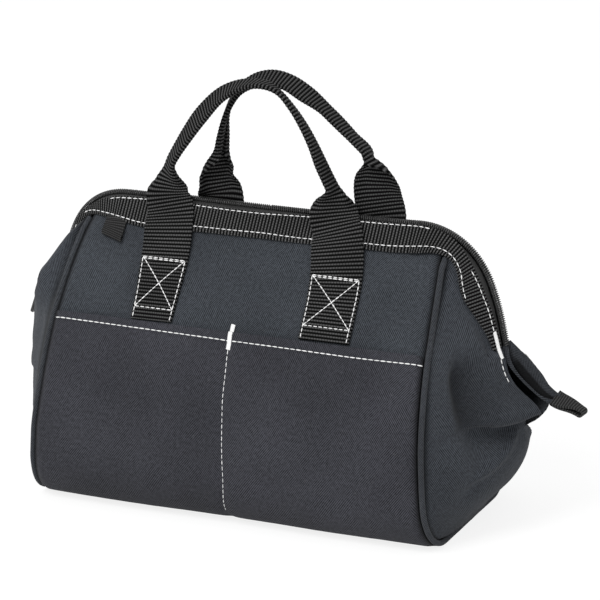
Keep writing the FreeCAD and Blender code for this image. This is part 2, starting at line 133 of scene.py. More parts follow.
def smooth(low, high, value):
    t = np.clip((np.asarray(value, float) - low) / (high - low), 0, 1)
    return t * t * (3 - 2 * t)


def between(rise, fall, value):
    # 1 past the first edge and before the second
    return smooth(*rise, value) * (1 - smooth(*fall, value))


def mix(a, b, share):
    return a + (b - a) * share


def through(knots, where):
    # smooth curve through given knots: first column is the place, the rest follow it
    table = np.asarray(knots, float)
    at = table[:, 0]
    where = np.clip(np.asarray(where, float), at[0], at[-1])
    k = np.clip(np.searchsorted(at, where, side="right") - 1, 0, len(at) - 2)
    slope = np.gradient(table[:, 1:], at, axis=0)
    step = (at[k + 1] - at[k])[..., None]
    t = ((where - at[k]) / (at[k + 1] - at[k]))[..., None]
    a, b = table[k, 1:], table[k + 1, 1:]
    da, db = slope[k] * step, slope[k + 1] * step
    return ((2 * t**3 - 3 * t**2 + 1) * a + (t**3 - 2 * t**2 + t) * da
            + (3 * t**2 - 2 * t**3) * b + (t**3 - t**2) * db)


def curve(knots, where):
    # the same for knots of one place and one value
    return through(knots, where)[..., 0]


def ripple(points, size, seed):
    # soft random height, -1 to 1, over points in millimetres
    flat = np.asarray(points, float).reshape(-1, 3) / size + seed * 7.3
    values = [noise.noise(Vector(p)) for p in flat]
    return np.array(values).reshape(np.shape(points)[:-1])


def unit(v):
    return v / np.maximum(np.linalg.norm(v, axis=-1, keepdims=True), 1e-9)


# Mesh makers


def gridNormals(points, flip=False):
    across = np.gradient(points, axis=1)
    along = np.gradient(points, axis=0)
    normal = unit(np.cross(across, along))
    return -normal if flip else normal


def newObject(name, data):
    obj = bpy.data.objects.new(name, data)
    bpy.context.scene.collection.objects.link(obj)
    return obj


def makeMesh(name, points, polygons, uv, sharp=40.0):
    mesh = bpy.data.meshes.new(name)
    mesh.from_pydata((points * mm).tolist(), [], polygons)
    layer = mesh.uv_layers.new(name="weave")
    vertex = np.zeros(len(mesh.loops), int)
    mesh.loops.foreach_get("vertex_index", vertex)
    layer.data.foreach_set("uv", (uv[vertex] * mm).ravel())
    mesh.polygons.foreach_set("use_smooth", [True] * len(mesh.polygons))
    mesh.set_sharp_from_angle(angle=math.radians(sharp))
    return newObject(name, mesh)


def holdOnPoints(obj, name, values):
    holder = obj.data.attributes.new(name, "FLOAT", "POINT")
    holder.data.foreach_set("value", np.asarray(values, np.float32).ravel())


def quads(rows, cols, flip, start=0, loop=False):
    count = cols if loop else cols - 1
    polygons = []
    for r in range(rows - 1):
        for c in range(count):
            d = (c + 1) % cols
            polygon = [start + r * cols + c, start + r * cols + d,
                       start + (r + 1) * cols + d, start + (r + 1) * cols + c]
            polygons.append(polygon[::-1] if flip else polygon)
    return polygons


def sheetMesh(name, points, uv, thick, flip=False, normals=None, paintedShade=None):
    # a cloth sheet with its thickness behind it, closed all round
    # paintedShade is 1 where shade is painted in full, as where it sinks into a seam, and normals that are
    # given are kept
    rows, cols = points.shape[:2]
    outward = gridNormals(points, flip) if normals is None else normals
    back = points - outward * np.asarray(thick)[..., None]
    count = rows * cols
    vertices = np.concatenate([points.reshape(-1, 3), back.reshape(-1, 3)])
    polygons = quads(rows, cols, flip) + quads(rows, cols, not flip, count)
    border = ([(0, c) for c in range(cols)] + [(r, cols - 1) for r in range(1, rows)]
              + [(rows - 1, c) for c in range(cols - 2, -1, -1)] + [(r, 0) for r in range(rows - 2, 0, -1)])
    ring = [r * cols + c for r, c in border]
    for a, b in zip(ring, ring[1:] + ring[:1]):
        polygon = [b, a, a + count, b + count]
        polygons.append(polygon[::-1] if flip else polygon)
    obj = makeMesh(name, vertices, polygons, np.concatenate([uv.reshape(-1, 2)] * 2))
    if paintedShade is not None:
        holdOnPoints(obj, "paintedShade", np.concatenate([paintedShade.ravel()] * 2))
    if normals is not None:
        kept = np.concatenate([normals.reshape(-1, 3), -normals.reshape(-1, 3)])
        obj.data.normals_split_custom_set_from_vertices(kept.tolist())
    return obj


def alongLine(line):
    steps = np.linalg.norm(np.diff(line, axis=0), axis=1)
    return np.concatenate([[0], np.cumsum(steps)])


def atPlaces(spots, place, table):
    # rows of a table, read at other places along it
    return np.stack([np.interp(spots, place, column) for column in table.T], -1)


def tubeMesh(name, line, radius, sides):
    # a round cord along a line, closed at both ends
    tangent = unit(np.gradient(line, axis=0))
    side = np.zeros_like(line)
    ahead = np.array([0.0, 0.0, 1.0]) if abs(tangent[0, 2]) < 0.8 else np.array([1.0, 0.0, 0.0])
    for k in range(len(line)):
        ahead = ahead - tangent[k] * np.dot(ahead, tangent[k])
        ahead = ahead / np.linalg.norm(ahead)
        side[k] = ahead
    other = np.cross(tangent, side)
    angle = np.arange(sides) * 2 * math.pi / sides
    ring = np.cos(angle)[None, :, None] * side[:, None] + np.sin(angle)[None, :, None] * other[:, None]
    points = line[:, None] + ring * np.asarray(radius).reshape(-1, 1, 1)
    length = alongLine(line)
    uv = joined(angle[None] * np.mean(radius), length[:, None])
    last = (len(line) - 1) * sides
    caps = [list(range(sides))[::-1], list(range(last, last + sides))]
    polygons = quads(len(line), sides, False, 0, True) + caps
    return makeMesh(name, points.reshape(-1, 3), polygons, uv.reshape(-1, 2))


def placed(points, side, sign):
    # what is made for the front and the right end, turned to another end and wall
    return points * np.array([side, sign, 1.0])


# Camera

view = {"azimuth": 23.186, "elevation": 16.564, "distance": 2200.0, "target": (22.6, 0.0, 145.13),
        "lens": 189.08, "sensor": 36.0}


def makeCamera():
    a, e = math.radians(view["azimuth"]), math.radians(view["elevation"])
    back = Vector((math.sin(a) * math.cos(e), -math.cos(a) * math.cos(e), math.sin(e)))
    data = bpy.data.cameras.new("camera")
    data.lens = view["lens"]
    data.sensor_width = view["sensor"]
    cam = newObject("camera", data)
    cam.location = (Vector(view["target"]) + back * view["distance"]) * mm
    cam.rotation_euler = (-back).to_track_quat("-Z", "Y").to_euler()
    bpy.context.scene.camera = cam


makeCamera()
print("camera set")


# Node trees


class Nodes:
    # short way to place and join nodes in one tree
    def __init__(self, tree):
        self.tree = tree

    def add(self, kind, values=None, **settings):
        node = self.tree.nodes.new(kind)
        for key, value in settings.items():
            setattr(node, key, value)
        for key, value in (values or {}).items():
            if isinstance(value, bpy.types.NodeSocket):
                self.tree.links.new(value, node.inputs[key])
            else:
                node.inputs[key].default_value = value
        return node

    def math(self, operation, a, b=0.0):
        return self.add("ShaderNodeMath", {0: a, 1: b}, operation=operation).outputs[0]

    def line(self, value, slope, start):
        # start + slope * value
        return self.add("ShaderNodeMath", {0: value, 1: slope, 2: start}, operation="MULTIPLY_ADD").outputs[0]

    def ramp(self, value, low, high):
        # 0 up to low, 1 from high on
        return self.add("ShaderNodeMapRange", {0: value, 1: low, 2: high}).outputs[0]

    def vector(self, operation, values):
        return self.add("ShaderNodeVectorMath", values, operation=operation).outputs

    def either(self, share, a, b):
        return self.add("ShaderNodeMix", {0: share, 2: a, 3: b}, data_type="FLOAT").outputs[0]

    def colour(self, share, a, b):
        return self.add("ShaderNodeMix", {0: share, 6: a, 7: b}, data_type="RGBA").outputs[2]

    def noise(self, vector, scale, detail=2.0, rough=0.5):
        values = {"Vector": vector, "Scale": scale, "Detail": detail, "Roughness": rough}
        return self.add("ShaderNodeTexNoise", values).outputs["Fac"]

    def group(self, tree, values):
        return self.add("ShaderNodeGroup", values, node_tree=tree).outputs

    def place(self):
        return self.add("ShaderNodeTexCoord").outputs["Object"]

    def seen(self):
        # 1 for the camera and for what mirrors or glass would show
        path = self.add("ShaderNodeLightPath").outputs
        seen = self.math("MAXIMUM", path["Is Camera Ray"], path["Is Glossy Ray"])
        return self.math("MAXIMUM", seen, path["Is Transmission Ray"])


def newTree(name, kind, inputs, outputs):
    # inputs are (label, socket, value), outputs are (label, socket)
    tree = bpy.data.node_groups.new(name, kind)
    for label, socketKind, value in inputs:
        socket = tree.interface.new_socket(label, in_out="INPUT", socket_type="NodeSocket" + socketKind)
        if value is not None:
            socket.default_value = value
    for label, socketKind in outputs:
        tree.interface.new_socket(label, in_out="OUTPUT", socket_type="NodeSocket" + socketKind)
    nodes = Nodes(tree)
    return tree, nodes, nodes.add("NodeGroupInput").outputs, nodes.add("NodeGroupOutput").inputs


# Weaves and wear, shared by the finishes

yarn = {
    "weftShare": 0.78, "patchScale": 60.0, "patchEdge": (0.42, 0.58), "slubScale": 420.0,
    "slubEdge": (0.32, 0.68), "beadDepth": 0.7, "fuzzScale": 1600.0, "fuzzDepth": 0.8, "fuzzLow": 0.6,
    "speckScale": 420.0, "speckEdge": (0.62, 0.8),
}


def twillGroup():
    # a fine weave in which one diagonal or the other shows, patch by patch
    group, nodes, get, put = newTree("twillWeave", "ShaderNodeTree", [
        ("Vector", "Vector", None), ("Pitch", "Float", 0.0016), ("Unevenness", "Float", 0.28)],
        [("Height", "Float"), ("Tint", "Float")])
    split = nodes.add("ShaderNodeSeparateXYZ", {0: get["Vector"]}).outputs
    turn = nodes.math("DIVIDE", 2 * math.pi, get["Pitch"])
    warp = nodes.math("MULTIPLY", split[0], turn)
    weft = nodes.math("MULTIPLY", split[1], nodes.math("MULTIPLY", turn, yarn["weftShare"]))
    rising = nodes.math("COSINE", nodes.math("SUBTRACT", warp, weft))
    falling = nodes.math("COSINE", nodes.math("ADD", warp, weft))
    patch = nodes.ramp(nodes.noise(get["Vector"], yarn["patchScale"], 1.0), *yarn["patchEdge"])
    height = nodes.line(nodes.either(patch, rising, falling), 0.5, 0.5)
    slub = nodes.ramp(nodes.noise(get["Vector"], yarn["slubScale"], 2.0, 0.7), *yarn["slubEdge"])
    group.links.new(height, put["Height"])
    group.links.new(nodes.either(get["Unevenness"], height, slub), put["Tint"])
    return group


def ribbedGroup():
    # heavy cross ribs, each a row of small beads
    group, nodes, get, put = newTree("ribbedWeave", "ShaderNodeTree", [
        ("Vector", "Vector", None), ("Pitch", "Float", 0.0026), ("Bead", "Float", 0.0016)],
        [("Height", "Float"), ("Tint", "Float")])
    split = nodes.add("ShaderNodeSeparateXYZ", {0: get["Vector"]}).outputs
    along = nodes.math("DIVIDE", split[1], get["Pitch"])
    wave = nodes.math("COSINE", nodes.math("MULTIPLY", along, 2 * math.pi))
    rib = nodes.math("POWER", nodes.line(wave, 0.5, 0.5), 2.0)
    row = nodes.math("ABSOLUTE", nodes.math("ROUND", along))
    odd = nodes.math("MULTIPLY", nodes.math("MODULO", row, 2.0), math.pi / 2)
    across = nodes.math("DIVIDE", split[0], get["Bead"])
    phase = nodes.math("ADD", nodes.math("MULTIPLY", across, math.pi), odd)
    bead = nodes.math("ABSOLUTE", nodes.math("SINE", phase))
    height = nodes.math("MULTIPLY", rib, nodes.line(bead, yarn["beadDepth"], 1 - yarn["beadDepth"]))
    fuzz = nodes.noise(get["Vector"], yarn["fuzzScale"], 3.0)
    group.links.new(height, put["Height"])
    tint = nodes.math("MULTIPLY", height, nodes.line(fuzz, yarn["fuzzDepth"], yarn["fuzzLow"]))
    group.links.new(tint, put["Tint"])
    return group


def wearGroup():
    # slow patches of lighter and darker cloth, with a little dust
    group, nodes, get, put = newTree("clothWear", "ShaderNodeTree", [
        ("Vector", "Vector", None), ("Patch", "Float", 14.0)], [("Patches", "Float"), ("Dust", "Float")])
    group.links.new(nodes.noise(get["Vector"], get["Patch"], 3.0), put["Patches"])
    speck = nodes.noise(get["Vector"], yarn["speckScale"], 4.0)
    group.links.new(nodes.ramp(speck, *yarn["speckEdge"]), put["Dust"])
    return group


twillWeave = twillGroup()
ribbedWeave = ribbedGroup()
clothWear = wearGroup()


# Finishes

plain = (1.0, 1.0, 1.0)
# dark lies between the yarns and light on them; sink is how far the painted shade in seams and hollows
# darkens the cloth
cloth = {"weave": twillWeave, "sizes": {"Pitch": 0.0016}, "dark": 0.0005, "patch": 14.0, "patchLift": 0.45,
         "dust": 0.1, "dustShade": 0.2, "sink": 0.85, "sunkShade": 0.001, "rough": 0.92, "gloss": 0.14,
         "specular": 0.04, "sheen": 0.06, "sheenRough": 0.6, "bump": 0.00025, "bumpStrength": 0.5}
webbing = {**cloth, "weave": ribbedWeave, "dark": 0.0003, "tint": plain, "patch": 30.0, "patchLift": 0.6,
           "dust": 0.0, "sink": 0.0, "rough": 0.8, "gloss": 0.2, "sheen": 0.0, "bump": 0.0004,
           "bumpStrength": 0.7}
wovenLooks = {
    "bodyCloth": {**cloth, "light": 0.081, "tint": (0.89, 1.0, 1.175)},
    # painted light: the end cloth is the body cloth made a little lighter
    "endClothPaintedLight": {**cloth, "light": 0.086, "tint": (0.90, 1.0, 1.18)},
    "pocketCloth": {**cloth, "light": 0.069, "tint": (0.98, 1.0, 1.20)},
    "pipingCloth": {**cloth, "sizes": {"Pitch": 0.0015}, "dark": 0.0035, "light": 0.071,
                    "tint": (0.92, 1.0, 1.15)},
    "strapWebbing": {**webbing, "light": 0.086, "sizes": {"Pitch": 0.0026, "Bead": 0.0019}},
    "bandWebbing": {**webbing, "light": 0.100, "sizes": {"Pitch": 0.0024, "Bead": 0.0019}},
    "tabWebbing": {**webbing, "dark": 0.014, "light": 0.068, "sizes": {"Pitch": 0.0018, "Bead": 0.0015}},
    "loopWebbing": {**webbing, "dark": 0.013, "light": 0.056, "sizes": {"Pitch": 0.0016, "Bead": 0.0015}},
    "zipTape": {**webbing, "weave": twillWeave, "sizes": {"Pitch": 0.0009, "Unevenness": 0.2}, "dark": 0.005,
                "light": 0.022, "patch": 40.0, "patchLift": 0.4, "specular": 0.5, "bump": 0.0002,
                "bumpStrength": 0.5},
}


def shade(level, tint=plain):
    return (level * tint[0], level * tint[1], level * tint[2], 1.0)


def newFinish(name):
    finish = bpy.data.materials.new(name)
    finish.use_nodes = True
    finish.node_tree.nodes.clear()
    return finish, Nodes(finish.node_tree)


def closeFinish(nodes, values, height, distance, strength):
    # the shader, with its bump
    bump = nodes.add("ShaderNodeBump", {"Height": height, "Distance": distance, "Strength": strength})
    shader = nodes.add("ShaderNodeBsdfPrincipled", {**values, "Normal": bump.outputs[0]})
    nodes.add("ShaderNodeOutputMaterial", {"Surface": shader.outputs[0]})


def wovenFinish(name):
    look = wovenLooks[name]
    finish, nodes = newFinish(name)
    uv = nodes.add("ShaderNodeUVMap", uv_map="weave").outputs[0]
    weave = nodes.group(look["weave"], {"Vector": uv, **look["sizes"]})
    wear = nodes.group(clothWear, {"Vector": nodes.place(), "Patch": look["patch"]})
    share = nodes.math("MULTIPLY", weave["Tint"], nodes.math("ADD", wear["Patches"], look["patchLift"]))
    base = nodes.colour(share, shade(look["dark"], look["tint"]), shade(look["light"], look["tint"]))
    if look["dust"]:
        dust = nodes.math("MULTIPLY", wear["Dust"], look["dust"])
        base = nodes.colour(dust, base, shade(look["dustShade"]))
    if look["sink"]:
        # painted shade from the paintedShade attribute, in seams, hollows and under the bag
        paintedShade = nodes.add("ShaderNodeAttribute", attribute_name="paintedShade").outputs["Fac"]
        base = nodes.colour(nodes.math("MULTIPLY", paintedShade, look["sink"]), base, shade(look["sunkShade"]))
    values = {"Base Color": base, "Roughness": nodes.line(weave["Height"], -look["gloss"], look["rough"]),
              "Specular IOR Level": look["specular"], "Sheen Weight": look["sheen"],
              "Sheen Roughness": look["sheenRough"]}
    closeFinish(nodes, values, weave["Height"], look["bump"], look["bumpStrength"])
    return finish


# dark and light grain; worn is where metal shows through, cells the size of a pressed pattern
hardLooks = {
    "coilNylon": {"scale": 700.0, "detail": 3.0, "dark": 0.014, "light": 0.045, "rough": 0.3,
                  "roughRise": 0.25, "bump": 0.0001, "bumpStrength": 0.3},
    "blackZinc": {"scale": 240.0, "detail": 5.0, "dark": 0.02, "light": 0.16, "rough": 0.2, "roughRise": 0.3,
                  "worn": (0.6, 0.7), "metal": 0.8, "bump": 0.0001, "bumpStrength": 0.2},
    "blackBoard": {"scale": 20.0, "detail": 4.0, "dark": 0.012, "light": 0.03, "rough": 0.4, "roughRise": 0.2,
                   "cells": 500.0, "bump": 0.0002, "bumpStrength": 0.3},
}
threadLook = {"twist": 700.0, "distortion": 2.0, "between": 0.74, "soiled": (0.82, 0.82, 0.81, 1.0),
              "clean": 0.94, "soil": 120.0, "rough": 0.5, "roughRise": 0.2, "bump": 0.0001,
              "bumpStrength": 0.4}


def hardFinish(name):
    look = hardLooks[name]
    finish, nodes = newFinish(name)
    place = nodes.place()
    grain = nodes.noise(place, look["scale"], look["detail"])
    share, height = grain, grain
    values = {"Roughness": nodes.line(grain, look["roughRise"], look["rough"])}
    if "worn" in look:
        share = nodes.ramp(grain, *look["worn"])
        values["Metallic"] = nodes.math("MULTIPLY", share, look["metal"])
    if "cells" in look:
        pattern = {"Vector": place, "Scale": look["cells"]}
        height = nodes.add("ShaderNodeTexVoronoi", pattern).outputs["Distance"]
    values["Base Color"] = nodes.colour(share, shade(look["dark"]), shade(look["light"]))
    closeFinish(nodes, values, height, look["bump"], look["bumpStrength"])
    return finish


def threadFinish():
    look = threadLook
    finish, nodes = newFinish("whiteThread")
    place = nodes.place()
    wave = {"Vector": place, "Scale": look["twist"], "Distortion": look["distortion"], "Detail": 1.0}
    twist = nodes.add("ShaderNodeTexWave", wave, bands_direction="DIAGONAL").outputs["Fac"]
    pale = nodes.colour(nodes.noise(place, look["soil"]), look["soiled"], shade(look["clean"]))
    values = {"Base Color": nodes.colour(twist, shade(look["between"]), pale),
              "Roughness": nodes.line(twist, look["roughRise"], look["rough"])}
    closeFinish(nodes, values, twist, look["bump"], look["bumpStrength"])
    return finish


finishes = {name: wovenFinish(name) for name in wovenLooks}
finishes.update({name: hardFinish(name) for name in hardLooks})
finishes["whiteThread"] = threadFinish()
print("finishes made", len(finishes))


# Geometry node trees for thread and for webbing ribs


def stitchTree():
    # each loose edge becomes one stitch that dips in at both ends
    tree, nodes, get, put = newTree("threadStitches", "GeometryNodeTree", [
        ("Geometry", "Geometry", None), ("Thread Radius", "Float", 0.00035), ("Unevenness", "Float", 0.15),
        ("Seed", "Int", 3), ("Finish", "Material", None)], [("Geometry", "Geometry")])
    edge = nodes.add("GeometryNodeInputMeshEdgeVertices").outputs
    run = nodes.vector("SUBTRACT", {0: edge["Position 2"], 1: edge["Position 1"]})[0]
    halfway = {0: 0.5, 4: edge["Position 1"], 5: edge["Position 2"]}
    middle = nodes.add("ShaderNodeMix", halfway, data_type="VECTOR").outputs[1]
    keep = nodes.add("GeometryNodeCaptureAttribute", {0: get["Geometry"]}, domain="EDGE")
    keep.capture_items.new("VECTOR", "Run")
    tree.links.new(run, keep.inputs["Run"])
    kept = keep.outputs["Run"]
    centre = {"Mesh": keep.outputs[0], "Position": middle}
    points = nodes.add("GeometryNodeMeshToPoints", centre, mode="EDGES")
    turn = nodes.add("FunctionNodeAlignRotationToVector", {"Vector": kept}, axis="X").outputs[0]
    length = nodes.vector("LENGTH", {0: kept})["Value"]
    spread = nodes.add("FunctionNodeRandomValue", {"Seed": get["Seed"]}, data_type="FLOAT")
    tree.links.new(nodes.math("SUBTRACT", 1.0, get["Unevenness"]), spread.inputs[2])
    tree.links.new(nodes.math("ADD", 1.0, get["Unevenness"]), spread.inputs[3])
    radius = nodes.math("MULTIPLY", get["Thread Radius"], spread.outputs[1])
    half = nodes.math("MULTIPLY", length, 0.5)
    size = nodes.add("ShaderNodeCombineXYZ", {0: half, 1: radius, 2: radius}).outputs[0]
    bean = nodes.add("GeometryNodeMeshUVSphere", {"Segments": 7, "Rings": 6, "Radius": 1.0})
    lying = nodes.add("GeometryNodeTransform", {
        "Geometry": bean.outputs[0], "Rotation": (0.0, math.pi / 2, 0.0)})
    sewn = nodes.add("GeometryNodeInstanceOnPoints", {
        "Points": points.outputs[0], "Instance": lying.outputs[0], "Rotation": turn, "Scale": size})
    real = nodes.add("GeometryNodeRealizeInstances", {0: sewn.outputs[0]})
    soft = nodes.add("GeometryNodeSetShadeSmooth", {0: real.outputs[0]})
    done = nodes.add("GeometryNodeSetMaterial", {"Geometry": soft.outputs[0], "Material": get["Finish"]})
    tree.links.new(done.outputs[0], put["Geometry"])
    return tree


def ribTree():
    # lifts the cross ribs of webbing along its own length
    tree, nodes, get, put = newTree("webbingRibs", "GeometryNodeTree", [
        ("Geometry", "Geometry", None), ("Pitch", "Float", 0.0026), ("Height", "Float", 0.0002),
        ("Finish", "Material", None)], [("Geometry", "Geometry")])
    along = nodes.add("GeometryNodeInputNamedAttribute", {"Name": "along"}, data_type="FLOAT").outputs[0]
    phase = nodes.math("MULTIPLY", nodes.math("DIVIDE", along, get["Pitch"]), 2 * math.pi)
    lift = nodes.math("MULTIPLY", nodes.math("COSINE", phase), get["Height"])
    normal = nodes.add("GeometryNodeInputNormal").outputs[0]
    offset = nodes.vector("SCALE", {0: normal, "Scale": lift})[0]
    moved = nodes.add("GeometryNodeSetPosition", {"Geometry": get["Geometry"], "Offset": offset})
    real = nodes.add("GeometryNodeRealizeInstances", {0: moved.outputs[0]})
    done = nodes.add("GeometryNodeSetMaterial", {"Geometry": real.outputs[0], "Material": get["Finish"]})
    tree.links.new(done.outputs[0], put["Geometry"])
    return tree


threadStitches = stitchTree()
webbingRibs = ribTree()


def settled(obj):
    # the mesh as its modifiers leave it
    bpy.context.view_layer.update()
    return bpy.data.meshes.new_from_object(obj.evaluated_get(bpy.context.evaluated_depsgraph_get()))


def applyTree(obj, tree, values):
    step = obj.modifiers.new(tree.name, "NODES")
    step.node_group = tree
    for item in tree.interface.items_tree:
        if item.item_type == "SOCKET" and item.in_out == "INPUT" and item.name in values:
            step[item.identifier] = values[item.name]
    made = settled(obj)
    obj.modifiers.remove(step)
    obj.data = made
    made.name = obj.name
    return obj


def ribbed(obj, uv, look, finish):
    # both faces of a webbing sheet get ribs, by their place along it
    holdOnPoints(obj, "along", np.concatenate([uv[..., 1].ravel()] * 2) * mm)
    values = {"Pitch": look["pitch"] * mm, "Height": look["rib"] * mm, "Finish": finishes[finish]}
    applyTree(obj, webbingRibs, values)


def threadObject(name, stitches, radius, seed):
    # stitches is a list of (start, end) points in millimetres
    tips = np.asarray(stitches, float).reshape(-1, 3)
    mesh = bpy.data.meshes.new(name)
    mesh.from_pydata((tips * mm).tolist(), [(2 * k, 2 * k + 1) for k in range(len(stitches))], [])
    values = {"Thread Radius": radius * mm, "Seed": seed, "Finish": finishes["whiteThread"]}
    obj = applyTree(newObject(name, mesh), threadStitches, values)
    return obj


def dashes(line, length=3.5, space=0.9):
    # splits a line into stitches of even length
    place = alongLine(line)
    count = max(1, int(round(place[-1] / (length + space))))
    pitch = place[-1] / count
    starts = np.arange(count) * pitch
    both = np.stack([starts, starts + pitch - space], 1).ravel()
    return list(atPlaces(both, place, line).reshape(-1, 2, 3))


def barTack(line, sideways, width, pitch=0.5, aslant=0.6):
    # dense stitches laid across a short line, each a little aslant
    place = alongLine(line)
    spots = np.arange(0, place[-1], pitch)
    centre = atPlaces(spots, place, line)
    side = np.asarray(sideways, float) * width / 2
    slant = (line[-1] - line[0]) / place[-1] * pitch * aslant
    return [(c - side - slant, c + side + slant) for c in centre]


def finished(obj, finish):
    obj.data.materials.clear()
    obj.data.materials.append(finishes[finish])


def foldBlend(obj, sign):
    start, end = (placed(wallPoint(0, s), 1, sign) * mm for s in (-bag["foldBelow"], bag["foldAbove"]))
    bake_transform(obj)


walls = (("front", 1), ("back", -1))
ends = (("right", 1), ("left", -1))
quarters = [(end, side, face, sign) for end, side in ends for face, sign in walls]


# Wall cloth

panel = {
    "step": 2.5, "edgeBias": 1.15, "seamDip": 1.7, "seamReach": 5.0, "calmEdge": 25.0, "topTuck": 3.5,
    "wrinkle": 0.55, "wrinkleSize": 42.0, "wrinkleSink": 0.8, "wrinkleRun": (1.0, 0.5, 0.6),
    "fineWrinkle": 0.18, "fineSize": 13.0,
    "seamShadeWidth": 2.0, "underTurn": 1.06, "underShade": 0.8, "underReach": 2.5,
    "pocketSink": 0.5, "sinkEdge": (-4.0, 6.0), "backBelly": 2.2,
    "cornerTuck": 2.2, "tuckEdge": (18.0, 4.0), "tuckEase": 8.0,
}
band = {
    "drop": 5.0, "width": 20.0, "thick": 1.5, "pitch": 2.4, "rib": 0.16, "ribSteps": 6, "columns": 13,
    "sheet": 1.2, "wave": 0.25, "waveSize": 17.0, "edgeDrop": 0.35, "edgeShare": 0.08,
}
corner = {"start": bag["topLength"] / 2 - 24.0, "radius": 55.0, "tilt": math.radians(18.3), "arm": 43.0,
          "ease": 10.0, "past": 2.0}
bandTop = wallLength - band["drop"]
bandLow = bandTop - band["width"]


def cornerDrop(x):
    # how far the mouth's edge falls below its straight run, past the corner's start
    over = np.clip(np.abs(x) - corner["start"], 0, corner["radius"])
    return corner["radius"] - np.sqrt(corner["radius"] ** 2 - over**2)


def fromSeam(x, s):
    # how far in from the end seam
    return halfLength(wallAt(s)[1], np.sign(x)) - np.abs(x)


def columns(count):
    # from -1 to 1, closer beside the seams
    u = np.linspace(-1, 1, count)
    return np.sign(u) * (1 - (1 - np.abs(u)) ** panel["edgeBias"])


def panelStand(x, s, seed):
    edge = fromSeam(x, s)
    spot = wallPoint(x, s)
    slow = ripple(spot * panel["wrinkleRun"], panel["wrinkleSize"], seed)
    stand = panel["wrinkle"] * (slow - panel["wrinkleSink"])
    stand += panel["fineWrinkle"] * ripple(spot, panel["fineSize"], seed + 4)
    stand = stand * smooth(0, panel["calmEdge"], edge)
    return stand - panel["seamDip"] * (1 - smooth(0, panel["seamReach"], edge))


def wallPaintedShade(x, s):
    # painted shade: the cloth is darkened beside the seams and where it turns under
    under = -arcLength - bag["sideRise"] - bottomRadius * panel["underTurn"]
    turned = smooth(under + panel["underReach"], under - panel["underReach"], s)
    return np.maximum(np.exp(-(fromSeam(x, s) / panel["seamShadeWidth"]) ** 2), panel["underShade"] * turned)


def makePanel(face, sign, seed):
    u = columns(int(bag["baseLength"] / panel["step"]) + 1)[None]
    top = bandTop - panel["topTuck"] - cornerDrop(u * halfLength(bag["zipHeight"]))
    share = np.linspace(0, 1, int((wallLength - wallFoot) / panel["step"]))[:, None]
    s = mix(wallFoot, top, share)
    x = u * halfLength(wallAt(s)[1], np.sign(u))
    stand = panelStand(x, s, seed)
    if sign > 0:
        # lies flat behind the pocket
        stand = stand - panel["pocketSink"] * (1 - smooth(*panel["sinkEdge"], s))
    else:
        full = np.sin(math.pi * np.clip((s - wallFoot) / -wallFoot, 0, 1))
        stand = stand + panel["backBelly"] * full * (1 - (x / halfBase) ** 2)
    past = smooth(corner["start"] - panel["tuckEase"], corner["start"] + panel["tuckEase"], np.abs(x))
    tuckIn = smooth(*panel["tuckEdge"], top - s) * past
    points = placed(wallPoint(x, s, stand - panel["cornerTuck"] * tuckIn), 1, sign)
    uv = joined(x, s)
    obj = sheetMesh(face + "_panel_cloth", points, uv, bag["cloth"], sign < 0, paintedShade=wallPaintedShade(x, s))
    finished(obj, "bodyCloth")
    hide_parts(face + "_lower_panel", face + "_upper_panel")
    foldBlend(obj, sign)


makePanel("front", 1, 1)
makePanel("back", -1, 2)
print("wall cloth made")


# Slip pocket with its hem, divider and bar tack

pocket = {
    "columns": 181, "rowStep": 2.4, "hemRowStep": 0.6, "hemZone": -12.0, "sideGap": 0.2,
    "thick": 1.1, "hemThick": 0.7, "hemFold": 1.0, "hemStep": 0.6, "hemTop": -0.6,
    "hemStitch": -5.6, "hemSag": 2.6, "hemFrom": -130.0, "hemTo": 150.0, "hemRun": 275.0,
    "hemRise": 1.5, "riseEdge": (0.75, 1.05),
    "lie": 1.6, "bulge": 2.4, "bulgeShape": 0.7, "fillShape": 0.8, "seamDip": 1.9,
    "footLie": 0.5, "footReach": 28.0, "pinch": 0.9, "pinchWidth": 3.5, "pinchEdge": (-8.0, -2.0),
    "wrinkle": 0.5, "wrinkleSize": 48.0, "wrinkleRun": (1.0, 0.4, 0.5),
    "fineWrinkle": 0.16, "fineSize": 12.0,
    "pucker": 0.45, "puckerWave": 0.2, "puckerPitch": 4.6, "puckerWidth": 1.8,
    "stitch": (4.1, 0.35), "stitchLift": 0.25, "stitchEnds": (1.5, 0.6), "thread": 0.43,
    "tack": (5.0, -13.0), "tackWidth": 3.5, "tackLift": (0.9, 0.2),
    "dividerEnd": 11.0, "dividerStitch": (3.4, 0.8), "dividerLift": 0.1, "dividerThread": 0.31,
}
dividerKnots = ((0.0, -2.0), (14.0, -1.0), (32.0, 0.8), (50.0, 0.2), (76.0, -0.6), (92.0, -1.7),
                (108.0, -2.3), (124.0, -3.7), (142.0, -4.0))


def dividerX(z):
    return curve(dividerKnots, z)


def hemLine(x):
    # the hem's stitching sags past the middle and comes up again at the right end
    along = (np.clip(x, pocket["hemFrom"], pocket["hemTo"]) - pocket["hemFrom"]) / pocket["hemRun"]
    rise = pocket["hemRise"] * smooth(*pocket["riseEdge"], along)
    return pocket["hemStitch"] - pocket["hemSag"] * along + rise


def hemShare(x, s):
    # 1 on the doubled hem
    low = hemLine(x) - pocket["hemFold"]
    return smooth(low - pocket["hemStep"], low, s)


